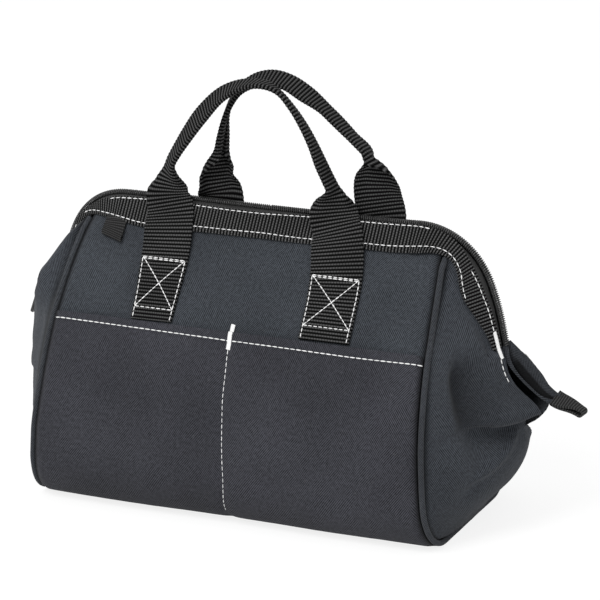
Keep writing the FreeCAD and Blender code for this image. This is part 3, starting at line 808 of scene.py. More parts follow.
def pocketStand(x, s):
    z = wallAt(s)[1]
    edge = fromSeam(x, s)
    spot = wallPoint(x, s)
    gap = x - dividerX(z)
    side = np.where(gap > 0, halfLength(z) - dividerX(z), halfLength(z, -1) + dividerX(z))
    cell = np.sin(math.pi * np.clip(np.abs(gap) / side, 0, 1)) ** pocket["bulgeShape"]
    up = np.clip((s - wallFoot) / (pocket["hemTop"] - wallFoot), 0, 1)
    fill = np.sin(math.pi * up) ** pocket["fillShape"]
    stand = pocket["lie"] + pocket["bulge"] * cell * fill
    pinch = pocket["pinch"] * np.exp(-(gap / pocket["pinchWidth"]) ** 2)
    stand = stand - pinch * (1 - smooth(*pocket["pinchEdge"], s))
    slow = ripple(spot * pocket["wrinkleRun"], pocket["wrinkleSize"], 11)
    stand = stand + pocket["wrinkle"] * slow * smooth(0, panel["calmEdge"], edge)
    stand = stand + pocket["fineWrinkle"] * ripple(spot, pocket["fineSize"], 12)
    pucker = np.exp(-((s - hemLine(x)) / pocket["puckerWidth"]) ** 2)
    wave = np.cos(2 * math.pi * x / pocket["puckerPitch"])
    stand = stand - pocket["pucker"] * pucker + pocket["puckerWave"] * pucker * wave
    stand = stand + pocket["hemThick"] * hemShare(x, s)
    stand = stand - pocket["seamDip"] * (1 - smooth(0, panel["seamReach"], edge))
    return mix(pocket["footLie"], stand, smooth(wallFoot, wallFoot + pocket["footReach"], s))


def makePocket():
    u = columns(pocket["columns"])[None]
    low = np.arange(wallFoot, pocket["hemZone"], pocket["rowStep"])
    high = np.arange(pocket["hemZone"], pocket["hemTop"] + 0.01, pocket["hemRowStep"])
    s = np.concatenate([low, high])[:, None]
    x = u * (halfLength(wallAt(s)[1], np.sign(u)) - pocket["sideGap"])
    s = np.broadcast_to(s, x.shape)
    points = wallPoint(x, s, pocketStand(x, s))
    thick = pocket["thick"] + pocket["hemThick"] * hemShare(x, s)
    obj = sheetMesh("pocket_cloth", points, joined(x, s), thick, paintedShade=wallPaintedShade(x, s))
    finished(obj, "pocketCloth")
    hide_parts("front_pocket")
    foldBlend(obj, 1)


def makePocketThread():
    def on(x, s, lift):
        return wallPoint(x, s, pocketStand(x, s) + lift)

    height = wallAt(pocket["hemStitch"])[1]
    left, right = pocket["stitchEnds"]
    x = np.linspace(left - halfLength(height, -1), halfLength(height) + right, 400)
    hem = dashes(on(x, hemLine(x), pocket["stitchLift"]), *pocket["stitch"])
    s = np.linspace(pocket["tack"][1], wallFoot, 600)
    s = s[wallAt(s)[1] > pocket["dividerEnd"]]
    divider = dashes(on(dividerX(wallAt(s)[1]), s, pocket["dividerLift"]), *pocket["dividerStitch"])
    s = np.linspace(*pocket["tack"], 40)
    tackX = dividerX(wallAt(s)[1])
    onPanel, onPocket = pocket["tackLift"]
    stand = np.where(s > pocket["hemTop"], onPanel, pocketStand(tackX, s) + onPocket)
    tack = barTack(wallPoint(tackX, s, stand), (1, 0, 0), pocket["tackWidth"])
    for obj in (threadObject("pocket_thread", hem + tack, pocket["thread"], 5),
                threadObject("divider_thread", divider, pocket["dividerThread"], 6)):
        foldBlend(obj, 1)


makePocket()
makePocketThread()
print("pocket made")


# Base cloth under the stiff board

bottom = {"columns": 121, "rows": 41, "wave": 0.15, "waveSize": 35.0, "calmEdge": 10.0, "paintedShade": 0.8}


def makeBase():
    x = np.linspace(-halfBase, halfBase, bottom["columns"])[None]
    y = np.linspace(-halfFlat, halfFlat, bottom["rows"])[:, None]
    x, y = np.broadcast_arrays(x, y)
    spot = joined(x, y, 0.0)
    edge = np.minimum(halfBase - np.abs(x), halfFlat - np.abs(y))
    z = bottom["wave"] * (1 + ripple(spot, bottom["waveSize"], 21)) * smooth(0, bottom["calmEdge"], edge)
    points = joined(x, y, z)
    # painted shade: the whole base is darkened, as it lies underneath
    paintedShade = np.full_like(x, bottom["paintedShade"])
    obj = sheetMesh("base_cloth", points, joined(x, y), bag["cloth"], True, paintedShade=paintedShade)
    finished(obj, "bodyCloth")
    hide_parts("base_panel")
    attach(obj, "tub")
    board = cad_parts["base_board"].data.materials
    board.clear()
    board.append(finishes["blackBoard"])


makeBase()
print("base made")


# Zipper line: along the top, round the corner and down the arm, for the right end

armLean = corner["tilt"]
bendLength = corner["radius"] * (math.pi / 2 - armLean)
zipLength = corner["start"] + bendLength + corner["arm"]
armTopX = corner["start"] + corner["radius"] * math.cos(armLean)
armTopZ = bag["zipHeight"] - corner["radius"] * (1 - math.sin(armLean))
armEndX = armTopX + corner["arm"] * math.sin(armLean)
armBottom = armTopZ - corner["arm"] * math.cos(armLean)
armSlope = math.radians(45.0)
coil = {"edge": 2.5, "half": 1.5, "middle": 1.1, "pitch": 1.5, "wire": 0.42, "turnSteps": 11, "sides": 6}
# how far the mouth's soft line strays outward at each end
mouthStray = {
    1: ((0, 0), (95, 0), (130, 1.2), (165, 1.9), (195, 2.6), (zipLength - 6, 0.8), (zipLength, 0)),
    -1: ((0, 0), (95, 0), (125, -2.0), (150, -5.5), (175, -7.0), (196, -5.5), (zipLength - 6, -0.5),
         (zipLength, 0)),
}


def zipAt(d, side):
    # point of the zipper line and its outward direction, both in the end-on XZ plane
    d = np.asarray(d, float)
    turn = np.clip((d - corner["start"]) / corner["radius"], 0, math.pi / 2 - armLean)
    past = np.clip(d - corner["start"] - bendLength, 0, None)
    x = np.minimum(d, corner["start"]) + corner["radius"] * np.sin(turn) + past * math.sin(armLean)
    z = bag["zipHeight"] - corner["radius"] * (1 - np.cos(turn)) - past * math.cos(armLean)
    stray = curve(mouthStray[side], d)
    rise = np.clip(stray, 0, None) * np.cos(turn)
    return x + stray * np.sin(turn), z + rise, np.sin(turn), np.cos(turn)


def stripAt(d, w, v, side):
    # on the front slope beside the zipper: w down from the coil, v out of the slope
    x, z, outX, outZ = zipAt(d, side)
    ease = smooth(corner["start"] - corner["ease"], corner["start"] + bendLength, d)
    slope = mix(math.pi / 2 - lean, armSlope, ease)
    y = mix(-bag["zipOffset"], -coil["edge"], ease) - w * np.cos(slope) - v * np.sin(slope)
    n = mix(0.0, -coil["half"] - bag["gap"], ease) - w * np.sin(slope) + v * np.cos(slope)
    return joined(x + outX * n, y, z + outZ * n)


# a point at the arm's end, and runs above and below it
mouthEnd = np.array([armEndX, 0.0, armBottom - 0.4])
wingRun = np.array([-37.8, -40.6, 27.0])
bellyRun = np.array([-0.064, -0.112, 0.992]) * 15.3


def mouthBlend(obj):
    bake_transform(obj)


# End panels

gusset = {
    "low": 4.3, "top": 194.5, "rowStep": 2.2, "columns": 41, "meet": 131.0, "meetReach": 45.0,
    "underBand": 9.0, "underStart": 1.0, "underReach": 14.0, "inset": 4.3, "edgeOut": 2.3, "columnBias": 1.25,
    "wrinkle": 0.8, "wrinkleSize": 34.0, "fineWrinkle": 0.3, "fineSize": 13.0,
    "calmSeam": (0.0, 0.12), "calmRim": (0.9, 1.0), "middleReach": 0.05,
    "cheekHeight": 135.0, "cheekReach": 26.0, "cheekIn": (0.1, 0.55), "cheekOut": (0.75, 1.0),
    # how the cloth keeps to the slope under the band
    "slopeGap": 0.3, "slopeNear": 0.6, "wingStart": 6.0, "sinkMost": 20.0,
    "coverStart": 1.0, "coverReach": {1: 14.0, -1: 6.0}, "leftCover": 3.0,
    # how wide the painted shade beside the seam is, then how dark the painted shade in the hollow, at the
    # foot and at the left edge is
    "paintedShade": 3.2, "leftShadeWidth": (6.0, 9.5), "leftShadeRise": (40.0, 115.0), "hollowShade": 0.68,
    "lowShade": 0.18, "lowEdge": (75.0, 30.0), "sunkShade": 0.65, "pipingShadeSoft": (1.0, 5.0),
}
# the middle line of each end below the arm: height on the seam, then x, y, z
bellyKnots = [(4.3, 155.0, 0, 4.3), (14, 162.0, 0, 14), (24, 171.2, 0, 24), (34, 180.2, 0, 34),
              (46, 187.4, 0, 46), (62, 191.2, 0, 62), (74, 190.6, 0, 75)]
frontLip = bellyKnots + [(79, 191.2, 0, 79.5), (83.5, 198, -2, 83.8), (88, 204.2, -6, 87.8),
                         (94, 198.6, -8, 95.4), (104, 190.8, -8.5, 101.8), (112, 184.6, -8.5, 107.8),
                         (120, 179.6, -7.5, 116), (126, 176, -5, 125), (131, 173.3, -3.2, 130.9)]
backLip = bellyKnots + [(80, 199, -1, 81), (87, 205, -5, 89.5), (95, 204.5, -8, 101.5),
                        (104, 199, -8.5, 110), (112, 193, -8.5, 117), (120, 185.5, -8.5, 124),
                        (126, 178.5, -6.5, 128.5), (131, 173.3, -3.2, 130.9)]
leftRidge = [(4.3, 152, 0, 4.3), (14, 158, 0, 14), (24, 166, 0, 24), (34, 174, 0, 34), (46, 181, 0, 46),
             (62, 185, 0, 62), (78, 187, 0, 78), (95, 187, 0, 95), (106, 186, 0, 106), (112, 184.5, 0, 112),
             (118, 182, 0, 118), (126, 177.5, -0.8, 126), (131, 173.3, -3.2, 130.9)]


def seamY(z):
    # the cloth's edge behind the piping, on the front seam
    s = np.linspace(wallFoot, wallLength, 900)
    y, height = wallAt(s, -gusset["inset"])
    return np.interp(z, height, y)


def armRim(z, side):
    # where the end cloth goes under the band, by height
    d = np.linspace(zipLength, corner["start"] + corner["past"], 300)
    under = mix(gusset["underStart"], gusset["underBand"], smooth(0, gusset["underReach"], zipLength - d))
    rim = stripAt(d, under, 0.1, side)
    return np.column_stack([atPlaces(z, rim[:, 2], rim[:, :2]), z])


def armSlopeX(y, z, side):
    # how far out the band's slope lies at a given height, to keep the cloth under it
    d = np.linspace(corner["start"] + corner["past"], zipLength, 240)
    best = np.full(np.shape(y), np.inf)
    w = (-coil["edge"] - y) / math.cos(armSlope)
    for k in range(len(d)):
        spot = stripAt(d[k], w, 0.0, side)
        near = np.abs(spot[..., 2] - z)
        best = np.where(near < gusset["slopeNear"], np.minimum(best, spot[..., 0]), best)
    return best


def fold(y, z, a, b):
    # signed distance above the line from a to b, in the end view
    run = np.array(b, float) - np.array(a, float)
    run = run / np.linalg.norm(run)
    return (z - a[1]) * run[0] - (y - a[0]) * run[1]


# creases seen end-on (distance from the middle, height) and their depths, worked from the photo
creases = {
    "notch": (0.0, 80.5), "upperSeam": (48.0, 84.0), "lowerSeam": (54.0, 42.0), "tuck": 9.0, "tuckEdge": 3.5,
    "over": 2.0, "overPlace": 3.0, "overWidth": 5.0, "foldIn": (2.0, 20.0), "foldOut": (40.0, 58.0),
    "hollow": 6.5, "hollowIn": (0.0, 7.0), "hollowOut": (9.0, 34.0), "hollowFoot": (78.0, 90.0),
    "hollowTop": (116.0, 134.0), "dip": 3.5, "dipPlace": (47.0, 42.0), "dipSize": 90.0,
    "crest": 2.2, "crestWidth": 3.5,
}
# height, then how far from the middle the soft hollow begins
hollowEdge = ((80, 59), (88, 59), (97, 57), (105, 54), (115, 50), (125, 44), (134, 38))


def hollowShare(y, z):
    inward = curve(hollowEdge, z) - y
    across = between(creases["hollowIn"], creases["hollowOut"], inward)
    return across * between(creases["hollowFoot"], creases["hollowTop"], z)


def endFolds(y, z, strength):
    # y is the distance from the middle, positive towards the seam
    below = -fold(y, z, creases["notch"], creases["upperSeam"])
    above = fold(y, z, creases["notch"], creases["lowerSeam"])
    inside = np.clip(above / np.maximum(above + below, 1e-6), 0, 1) * (below > 0) * (above > 0)
    reach = between(creases["foldIn"], creases["foldOut"], y)
    tuck = -creases["tuck"] * inside * smooth(0, creases["tuckEdge"], below) * reach
    over = creases["over"] * np.exp(-((below + creases["overPlace"]) / creases["overWidth"]) ** 2)
    over = over * (below < 0) * reach
    hollow = -creases["hollow"] * hollowShare(y, z)
    dipY, dipZ = creases["dipPlace"]
    dip = -creases["dip"] * np.exp(-((y - dipY) ** 2 + (z - dipZ) ** 2) / creases["dipSize"])
    crest = creases["crest"] * np.exp(-(above / creases["crestWidth"]) ** 2) * reach
    return strength * (tuck + over + hollow + dip + crest)


endLooks = {
    ("front", "right"): {"rim": frontLip, "folds": 1.0, "cheek": 1.0, "seed": 31},
    ("back", "right"): {"rim": backLip, "folds": 0.8, "cheek": 1.0, "seed": 37},
    ("front", "left"): {"rim": leftRidge, "folds": 0.3, "cheek": 14.0, "seed": 41},
    ("back", "left"): {"rim": leftRidge, "folds": 0.4, "cheek": 11.0, "seed": 47},
}
# height, then how full the left cheek is
leftCheek = ((0, 0), (80, 0), (100, 0.04), (115, 0.2), (126, 0.58), (136, 1.06), (146, 1.28), (154, 1.12),
             (163, 0.92), (174, 0.6), (186, 0.2), (196, 0))
# heights, then how round the cloth swells from the seam
endRound = {
    1: ((0, 60, 84, 110), (0.9, 0.9, 0.35, 0.0)),
    -1: ((0, 40, 100, 131, 195), (0.7, 0.45, 0.4, 0.3, 0.0)),
}


def cheekShare(z, side):
    if side > 0:
        return np.exp(-((z - gusset["cheekHeight"]) / gusset["cheekReach"]) ** 2)
    return curve(leftCheek, z)


def endGrid(look, side):
    q = np.arange(gusset["low"], gusset["top"], gusset["rowStep"])
    meetRow = int(np.argmin(np.abs(q - gusset["meet"])))
    shift = np.interp(q, [gusset["low"], gusset["meet"], gusset["top"]], [0, 1, 0])
    q = q + (gusset["meet"] - q[meetRow]) * shift
    rim = np.where((q > gusset["meet"])[:, None], armRim(q, side), through(look["rim"], q))
    seam = joined(halfLength(q, side) + gusset["edgeOut"], seamY(q), q)
    a = np.linspace(0, 1, gusset["columns"])[None] ** gusset["columnBias"]
    out = mix(a, 1 - (1 - a) ** 2, np.interp(q, *endRound[side])[:, None])
    x = seam[:, :1] + (rim[:, :1] - seam[:, :1]) * out
    y = mix(seam[:, 1:2], rim[:, 1:2], a)
    z = mix(seam[:, 2:], rim[:, 2:], a)
    points = joined(x, y, z)
    normal = gridNormals(points)
    cheek = look["cheek"] * between(gusset["cheekIn"], gusset["cheekOut"], a) * cheekShare(z, side)
    fine = gusset["wrinkle"] * ripple(points, gusset["wrinkleSize"], look["seed"])
    fine = fine + gusset["fineWrinkle"] * ripple(points, gusset["fineSize"], look["seed"] + 1)
    away = between(gusset["calmSeam"], gusset["calmRim"], a)
    lift = (cheek + endFolds(-y, z, look["folds"]) + fine) * away
    points = points + normal * lift[..., None]
    # under the band the cloth keeps to the slope of the mouth
    wing = (q >= gusset["meet"] - gusset["wingStart"])[:, None]
    limit = armSlopeX(points[..., 1], points[..., 2], side) - gusset["slopeGap"]
    low = (-coil["edge"] - points[..., 1]) / math.cos(armSlope)
    covered = bandWide(points[..., 2]) if side > 0 else gusset["leftCover"]
    keep = 1 - smooth(covered + gusset["coverStart"], covered + gusset["coverReach"][side], low)
    sink = np.clip(points[..., 0] - limit, 0, gusset["sinkMost"]) * keep * wing
    points[..., 0] -= sink
    # the row between the lower and upper parts lies on the plane where their runs agree
    grow = wingRun / wingRun.dot(wingRun) - bellyRun / bellyRun.dot(bellyRun)
    row = points[meetRow]
    offset = row - mouthEnd
    wanted = mouthEnd[2] - (offset[:, 0] * grow[0] + offset[:, 1] * grow[1]) / grow[2]
    reach = np.clip(1 - np.abs(q - gusset["meet"]) / gusset["meetReach"], 0, 1)
    points[..., 2] += reach[:, None] * (wanted - row[:, 2])[None]
    return points, meetRow


def bandWide(z):
    # lower edge of the band on the right arm, down the slope from the coil
    d = np.linspace(zipLength, corner["start"], 200)
    place = np.interp(z, zipAt(d, 1)[1], d)
    return through(bandRight, place)[..., 1]


# how the soft band lies: place along the mouth, its upper and lower edge, then its two thread rows
bandRight = ((0, 3.2, 22.4, 4.6, 18.6), (30, 1.9, 22.6, 3.4, 19.2), (72, 1.0, 21.8, 2.5, 17.9),
             (103, 0.4, 21.5, 1.9, 17.1), (117, 0.3, 20.8, 1.8, 15.9), (130, 0.3, 17.4, 1.9, 12.8),
             (138, 0.6, 14.8, 2.6, 11.1), (146, 1.6, 13.6, 4.4, 10.9), (153, 2.8, 14.6, 6.0, 12.1),
             (160, 3.9, 16.8, 7.0, 14.0), (168, 4.6, 19.6, 7.3, 17.2), (182, 4.5, 20.6, 7.1, 19.4),
             (194, 3.6, 17.0, 6.2, 16.0), (207, 2.6, 12.2, 5.6, 11.0), (zipLength, 1.7, 8.2, 4.6, 7.0))
bandLeft = ((0, 3.2, 22.4, 4.6, 18.6), (23, 3.4, 22.8, 5.0, 19.3), (57, 3.0, 23.6, 4.6, 20.2),
            (88, 2.0, 24.2, 3.6, 21.6), (105, 2.4, 21.8, 4.1, 19.0), (126, 3.2, 17.4, 5.0, 14.6),
            (140, 2.6, 11.6, 5.0, 8.6), (148, 1.8, 8.4, 4.0, 5.2), (156, 1.0, 7.0, 3.2, 4.0),
            (172, 1.2, 9.0, 4.4, 7.5), (190, 1.6, 11.5, 5.0, 10.0), (zipLength, 1.7, 8.2, 4.6, 7.0))


def bandLies(d, side, sign):
    return through(bandLeft if side < 0 < sign else bandRight, d)


# height, then how wide the painted shade beside the left piping is
pipingShadeWidth = ((0, 4), (36, 7), (57, 11), (72, 12.5), (92, 12), (110, 11), (128, 11.5), (142, 9), (160, 6),
            (196, 5))


def makeEnd(end, side, face, sign):
    look = endLooks[(face, end)]
    points, meetRow = endGrid(look, side)
    normal = gridNormals(points)
    middle = np.abs(points[:, -1, 1]) < gusset["middleReach"]
    normal[middle, -1, 1] = 0
    normal = unit(normal)
    width = np.linalg.norm(np.diff(points, axis=1), axis=2)
    across = np.concatenate([np.zeros((len(points), 1)), np.cumsum(width, 1)], 1)
    uv = joined(across, points[:, :1, 2])
    turned = placed(points, side, sign)
    normal = placed(normal, side, sign)
    flip = side * sign < 0
    made = []
    for part, rows, run in (("lower", slice(0, meetRow + 1), bellyRun),
                            ("upper", slice(meetRow, None), wingRun)):
        name = face + "_" + end + "_end_" + part
        z = points[rows, :, 2]
        # painted shade: a dark line beside the seam; on the right end the hollow and the foot, on the left a
        # wider band beside the piping
        if side > 0:
            soft = gusset["paintedShade"]
            shadeShare = gusset["hollowShade"] * hollowShare(-points[rows, :, 1], z)
            shadeShare = shadeShare + gusset["lowShade"] * smooth(*gusset["lowEdge"], z)
        else:
            soft = mix(*gusset["leftShadeWidth"], smooth(*gusset["leftShadeRise"], z))
            inner, outer = (curve(pipingShadeWidth, z) + more for more in gusset["pipingShadeSoft"])
            shadeShare = gusset["sunkShade"] * (1 - smooth(inner, outer, across[rows]))
        paintedShade = np.maximum(np.exp(-(across[rows] / soft) ** 2), shadeShare)
        obj = sheetMesh(name, turned[rows], uv[rows], bag["cloth"], flip, normal[rows], paintedShade)
        finished(obj, "endClothPaintedLight")
        mouthBlend(obj)
        made.append(obj)
    return made, points


endPoints = {}
for end, side in ends:
    shown = []
    for face, sign in walls:
        made, endPoints[(face, end)] = makeEnd(end, side, face, sign)
        shown += made
    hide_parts(end + "_end_panel")
print("end panels made")


# Piping in the four seams

piping = {"radius": 2.0, "sides": 14, "step": 2.0, "top": 74.0, "tuckStart": 62.0, "tuck": 3.2,
          "wobble": 0.2, "wobbleSize": 22.0, "uneven": 0.08, "unevenSize": 9.0}


def makePiping(end, side, face, sign):
    s = np.arange(wallFoot - halfFlat, piping["top"], piping["step"])
    tuck = piping["tuck"] * smooth(piping["tuckStart"], piping["top"], s)
    y, z = wallAt(s, -piping["radius"] - tuck)
    z = np.maximum(z, piping["radius"])
    spot = joined(side * 100.0, y, z)
    wobble = piping["wobble"] * ripple(spot, piping["wobbleSize"], 51 + sign)
    x = halfLength(z, side) + bag["gap"] + piping["radius"] + wobble
    line = placed(joined(x, y, z), side, sign)
    radius = piping["radius"] + piping["uneven"] * ripple(spot, piping["unevenSize"], 53)
    obj = tubeMesh(face + "_" + end + "_cord", line, radius, piping["sides"])
    finished(obj, "pipingCloth")
    nodes = [face + "_" + end + "_piping"] + ([end + "_piping"] if sign > 0 else [])
    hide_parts(*nodes)
    foldBlend(obj, sign)


for quarter in quarters:
    makePiping(*quarter)
print("piping made")


# Mouth: band, tape and coil, each from the middle of the top to the arm's end

# how far the tape's columns lie from the coil, and how high
tape = {"step": 1.5, "thick": 0.7, "underBand": 1.5,
        "across": (0.3, 1.0, 1.8, 2.8, 4.0, 6.0, 8.0, 11.0, 14.0),
        "lift": (-1.3, -0.7, -0.2, 0.05, 0.1, 0.1, 0.1, 0.0, 0.0)}


def makeBand(end, side, face, sign):
    d = np.arange(0, zipLength + 0.2, band["pitch"] / band["ribSteps"])[:, None]
    share = np.linspace(0, 1, band["columns"])[None]
    lies = bandLies(d, side, sign)
    w = mix(lies[..., 0], lies[..., 1], share)
    wave = band["wave"] * ripple(np.concatenate([d, d * 0, d * 0], 1), band["waveSize"], 61)[:, None]
    rim = 1 - smooth(0, band["edgeShare"], share) + smooth(1 - band["edgeShare"], 1.0, share)
    lift = bag["gap"] + band["thick"] + wave - band["edgeDrop"] * rim
    points = placed(stripAt(d, w, lift, side), side, sign)
    uv = joined(w, d)
    obj = sheetMesh(face + "_" + end + "_band_web", points, uv, band["sheet"], side * sign < 0)
    ribbed(obj, uv, band, "bandWebbing")
    nodes = [face + "_" + end + "_arm_band"] + ([face + "_band"] if side > 0 else [])
    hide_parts(*nodes)
    mouthBlend(obj)


def makeTape(end, side, face, sign):
    d = np.arange(0, zipLength + 0.5, tape["step"])[:, None]
    w = np.minimum(np.array(tape["across"])[None], bandLies(d, side, sign)[..., 1] - tape["underBand"])
    points = placed(stripAt(d, w, np.array(tape["lift"])[None], side), side, sign)
    uv = joined(w, d)
    obj = sheetMesh(face + "_" + end + "_zip_cloth", points, uv, tape["thick"], side * sign < 0)
    finished(obj, "zipTape")
    nodes = [face + "_" + end + "_arm_zip_tape"] + ([face + "_zip_tape"] if side > 0 else [])
    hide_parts(*nodes)
    mouthBlend(obj)


def makeCoil(end, side, face, sign):
    # one half of the coil: a flattened winding beside the middle line
    t = np.arange(0, zipLength / coil["pitch"], 1 / coil["turnSteps"])
    angle = 2 * math.pi * t + (0 if sign > 0 else math.pi)
    x, z, outX, outZ = zipAt(t * coil["pitch"], side)
    y = -coil["middle"] + coil["half"] * np.cos(angle)
    n = coil["half"] * np.sin(angle)
    line = placed(joined(x + outX * n, y, z + outZ * n), side, sign)
    obj = tubeMesh(face + "_" + end + "_coil_wire", line, coil["wire"], coil["sides"])
    finished(obj, "coilNylon")
    nodes = ([end + "_arm_coil"] if sign > 0 else []) + ([face + "_zip_coil"] if side > 0 else [])
    if nodes:
        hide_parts(*nodes)
    mouthBlend(obj)


threadRows = {"thread": 0.37, "lift": 2.15, "start": 0.4, "topEnd": 122.0, "armStart": 164.0,
              "lowEnd": {1: 182.0, -1: 151.0}, "lipLift": 0.5,
              "tack": ((209.8, 5.2, 2.2), (228.8, 4.1, 3.0)), "tackWidth": 2.8, "lip": (124.0, 107.0),
              "lipColumn": -3}


def makeBandThread(end, side, face, sign):
    def row(low, high, column):
        d = np.linspace(low, high, 300)
        return placed(stripAt(d, bandLies(d, side, sign)[..., column], threadRows["lift"], side), side, sign)

    rows = dashes(row(threadRows["start"], threadRows["topEnd"], 2))
    rows += dashes(row(threadRows["start"], threadRows["lowEnd"][side], 3))
    d, w, v = np.linspace(*threadRows["tack"], 40).T
    rows += dashes(row(threadRows["armStart"], d[0], 2))
    tackLine = placed(stripAt(d, w, v, side), side, sign)
    aside = placed(stripAt(d, w + 1.0, v, side), side, sign) - tackLine
    rows += barTack(tackLine, unit(aside)[len(d) // 2], threadRows["tackWidth"])
    obj = threadObject(face + "_" + end + "_band_thread", rows, threadRows["thread"], 7)
    mouthBlend(obj)
    if side > 0:
        # the row goes on along the lip of the end cloth
        grid = endPoints[(face, end)]
        edge = (grid + threadRows["lipLift"] * gridNormals(grid))[:, threadRows["lipColumn"]]
        inside = (edge[:, 2] < threadRows["lip"][0]) & (edge[:, 2] > threadRows["lip"][1])
        lip = dashes(placed(edge[inside][::-1], side, sign))
        obj = threadObject(face + "_" + end + "_lip_thread", lip, threadRows["thread"], 8)
        mouthBlend(obj)


for quarter in quarters:
    makeTape(*quarter)
    makeBand(*quarter)
    makeCoil(*quarter)
    makeBandThread(*quarter)
print("mouth made")


# Handles: one strap each, its sewn feet and its folded grip

strap = {
    "width": 34.0, "thick": 1.6, "pitch": 2.6, "rib": 0.17, "foot": 1.0, "columns": 29, "step": 2.6 / 5,
    "bend": 3.0, "hinge": 47.0, "hingeReach": 15.0, "foldShare": 0.285, "ease": 61, "overBand": 0.8,
    "underTop": 4.0, "flatTo": 30.0, "beforeBand": 6.0, "rampLift": 1.4, "turnFrom": 16.0, "turnTo": 8.0,
    "samples": 1600,
}
strapTop = bandTop - strap["underTop"]
# x, y, z of the strap above the band, its face's turn and how far it is folded
frontArch = [(-72, -10.5, 208, 90, 0.0), (-74.5, -11, 216, 85, 0.1), (-74, -11, 223, 80, 0.45),
             (-72.5, -11, 231, 45, 0.8), (-70.5, -11, 238, 35, 1), (-65.5, -11, 247, 35, 1),
             (-59, -11, 257, 40, 1), (-46.5, -11, 274, 45, 1), (-29, -11, 291, 30, 1),
             (-10.5, -11, 298.5, 8, 1), (0, -11, 299, -3, 1), (11.5, -11, 294.5, -20, 1),
             (21, -11, 285, -20, 1), (30, -11, 272.5, -15, 1), (37, -11, 260, -10, 1),
             (43, -11, 247, -2, 1), (48.5, -11, 236.5, 0, 1), (52, -11, 230, 5, 0.85),
             (52, -11, 222.5, 60, 0.45), (52, -10.5, 215.5, 65, 0.15), (53, -10.5, 208, 80, 0.0)]
backArch = [(-79.5, -10.5, 210, 100, 0.0), (-76.5, -11, 222, 100, 0.05), (-75.5, -11, 233, 95, 0.2),
            (-75, -11, 243, 65, 0.35), (-71, -11, 250.5, 20, 0.75), (-56, -11, 264, 5, 1),
            (-43.5, -11, 275, 0, 1), (-37.5, -11, 280, 0, 1), (-21.5, -11, 290.5, -20, 1),
            (-9, -11, 297, -20, 1), (2.5, -11, 299, -25, 1), (14, -11, 297, -25, 1),
            (26.5, -11, 289.5, -20, 1), (34, -11, 279.5, -20, 1), (38.5, -11, 268, -15, 1),
            (40.5, -11, 254.5, 0, 1), (42, -11, 243.5, 12, 1), (44.5, -11, 236, 35, 0.6),
            (45.5, -11, 228, 65, 0.45), (43, -11, 218, 70, 0.25), (42, -10.5, 210, 90, 0.0)]
# how far along the zipper each foot lies, by its place up the wall
handleFeet = {
    "front": (((3.5, -65.5), (46, -67), (70, -69), (strapTop, -71)),
              ((3.5, 64), (46, 62.5), (70, 58.5), (strapTop, 55))),
    "back": (((3.5, -66), (46, -72.5), (70, -76), (strapTop, -79.5)),
             ((3.5, 62), (46, 53), (70, 48), (strapTop, 42.5))),
}
# distance from the strap's end, then how wide the pulled webbing lies, at the left and right foot
strapSpread = ((0, 0.90, 1.08), (20, 0.95, 1.09), (45, 1.035, 1.11), (70, 1.05, 1.09), (92, 1.0, 1.0),
               (120, 1.0, 1.0))


def strapX(foot, s):
    return curve(foot, s)


def footKnots(foot):
    # from the patch's lower edge up over the band
    low = bag["gap"] + strap["thick"] / 2
    high = low + bag["gap"] + band["thick"] + strap["overBand"]
    rises = ((strap["foot"], low), (strap["flatTo"], low), (strap["hinge"], low),
             (bandLow - strap["beforeBand"], low + strap["rampLift"]), (bandLow, high), (strapTop, high))
    return [(*wallPoint(strapX(foot, s), s, n), 90, 0.0) for s, n in rises]


def handleLine(face, arch):
    left, right = handleFeet[face]
    table = np.array(footKnots(left) + arch + footKnots(right)[::-1], float)
    place = alongLine(table[:, :3])
    fine = through(np.column_stack([place, table]), np.linspace(0, place[-1], strap["samples"]))
    length = alongLine(fine[:, :3])
    spots = np.arange(0, length[-1], strap["step"])
    return atPlaces(spots, length, fine), spots


def foldedSection(share):
    # the strap's cross section: both edges turn in behind the face
    c = np.linspace(-strap["width"] / 2, strap["width"] / 2, strap["columns"] * 4 + 1)
    bendAt = strap["width"] * strap["foldShare"]
    angle = math.pi * share * np.clip((np.abs(c) - bendAt + strap["bend"]) / (2 * strap["bend"]), 0, 1)
    step = c[1] - c[0]
    middle = len(c) // 2
    wide = np.cumsum(np.cos(angle)) * step
    deep = np.cumsum(np.sin(angle) * np.sign(c)) * step
    wide, deep = wide - wide[middle], deep - deep[middle]
    pick = np.linspace(0, len(c) - 1, strap["columns"]).round().astype(int)
    return c[pick], wide[pick], -deep[pick]


def eased(line, window):
    # running mean along a line, its ends carried straight on
    half = window // 2
    longer = np.pad(line, ((half, half), (0, 0)), mode="reflect", reflect_type="odd")
    share = np.hanning(window + 2)[1:-1]
    return np.stack([np.convolve(column, share / share.sum(), "valid") for column in longer.T], -1)


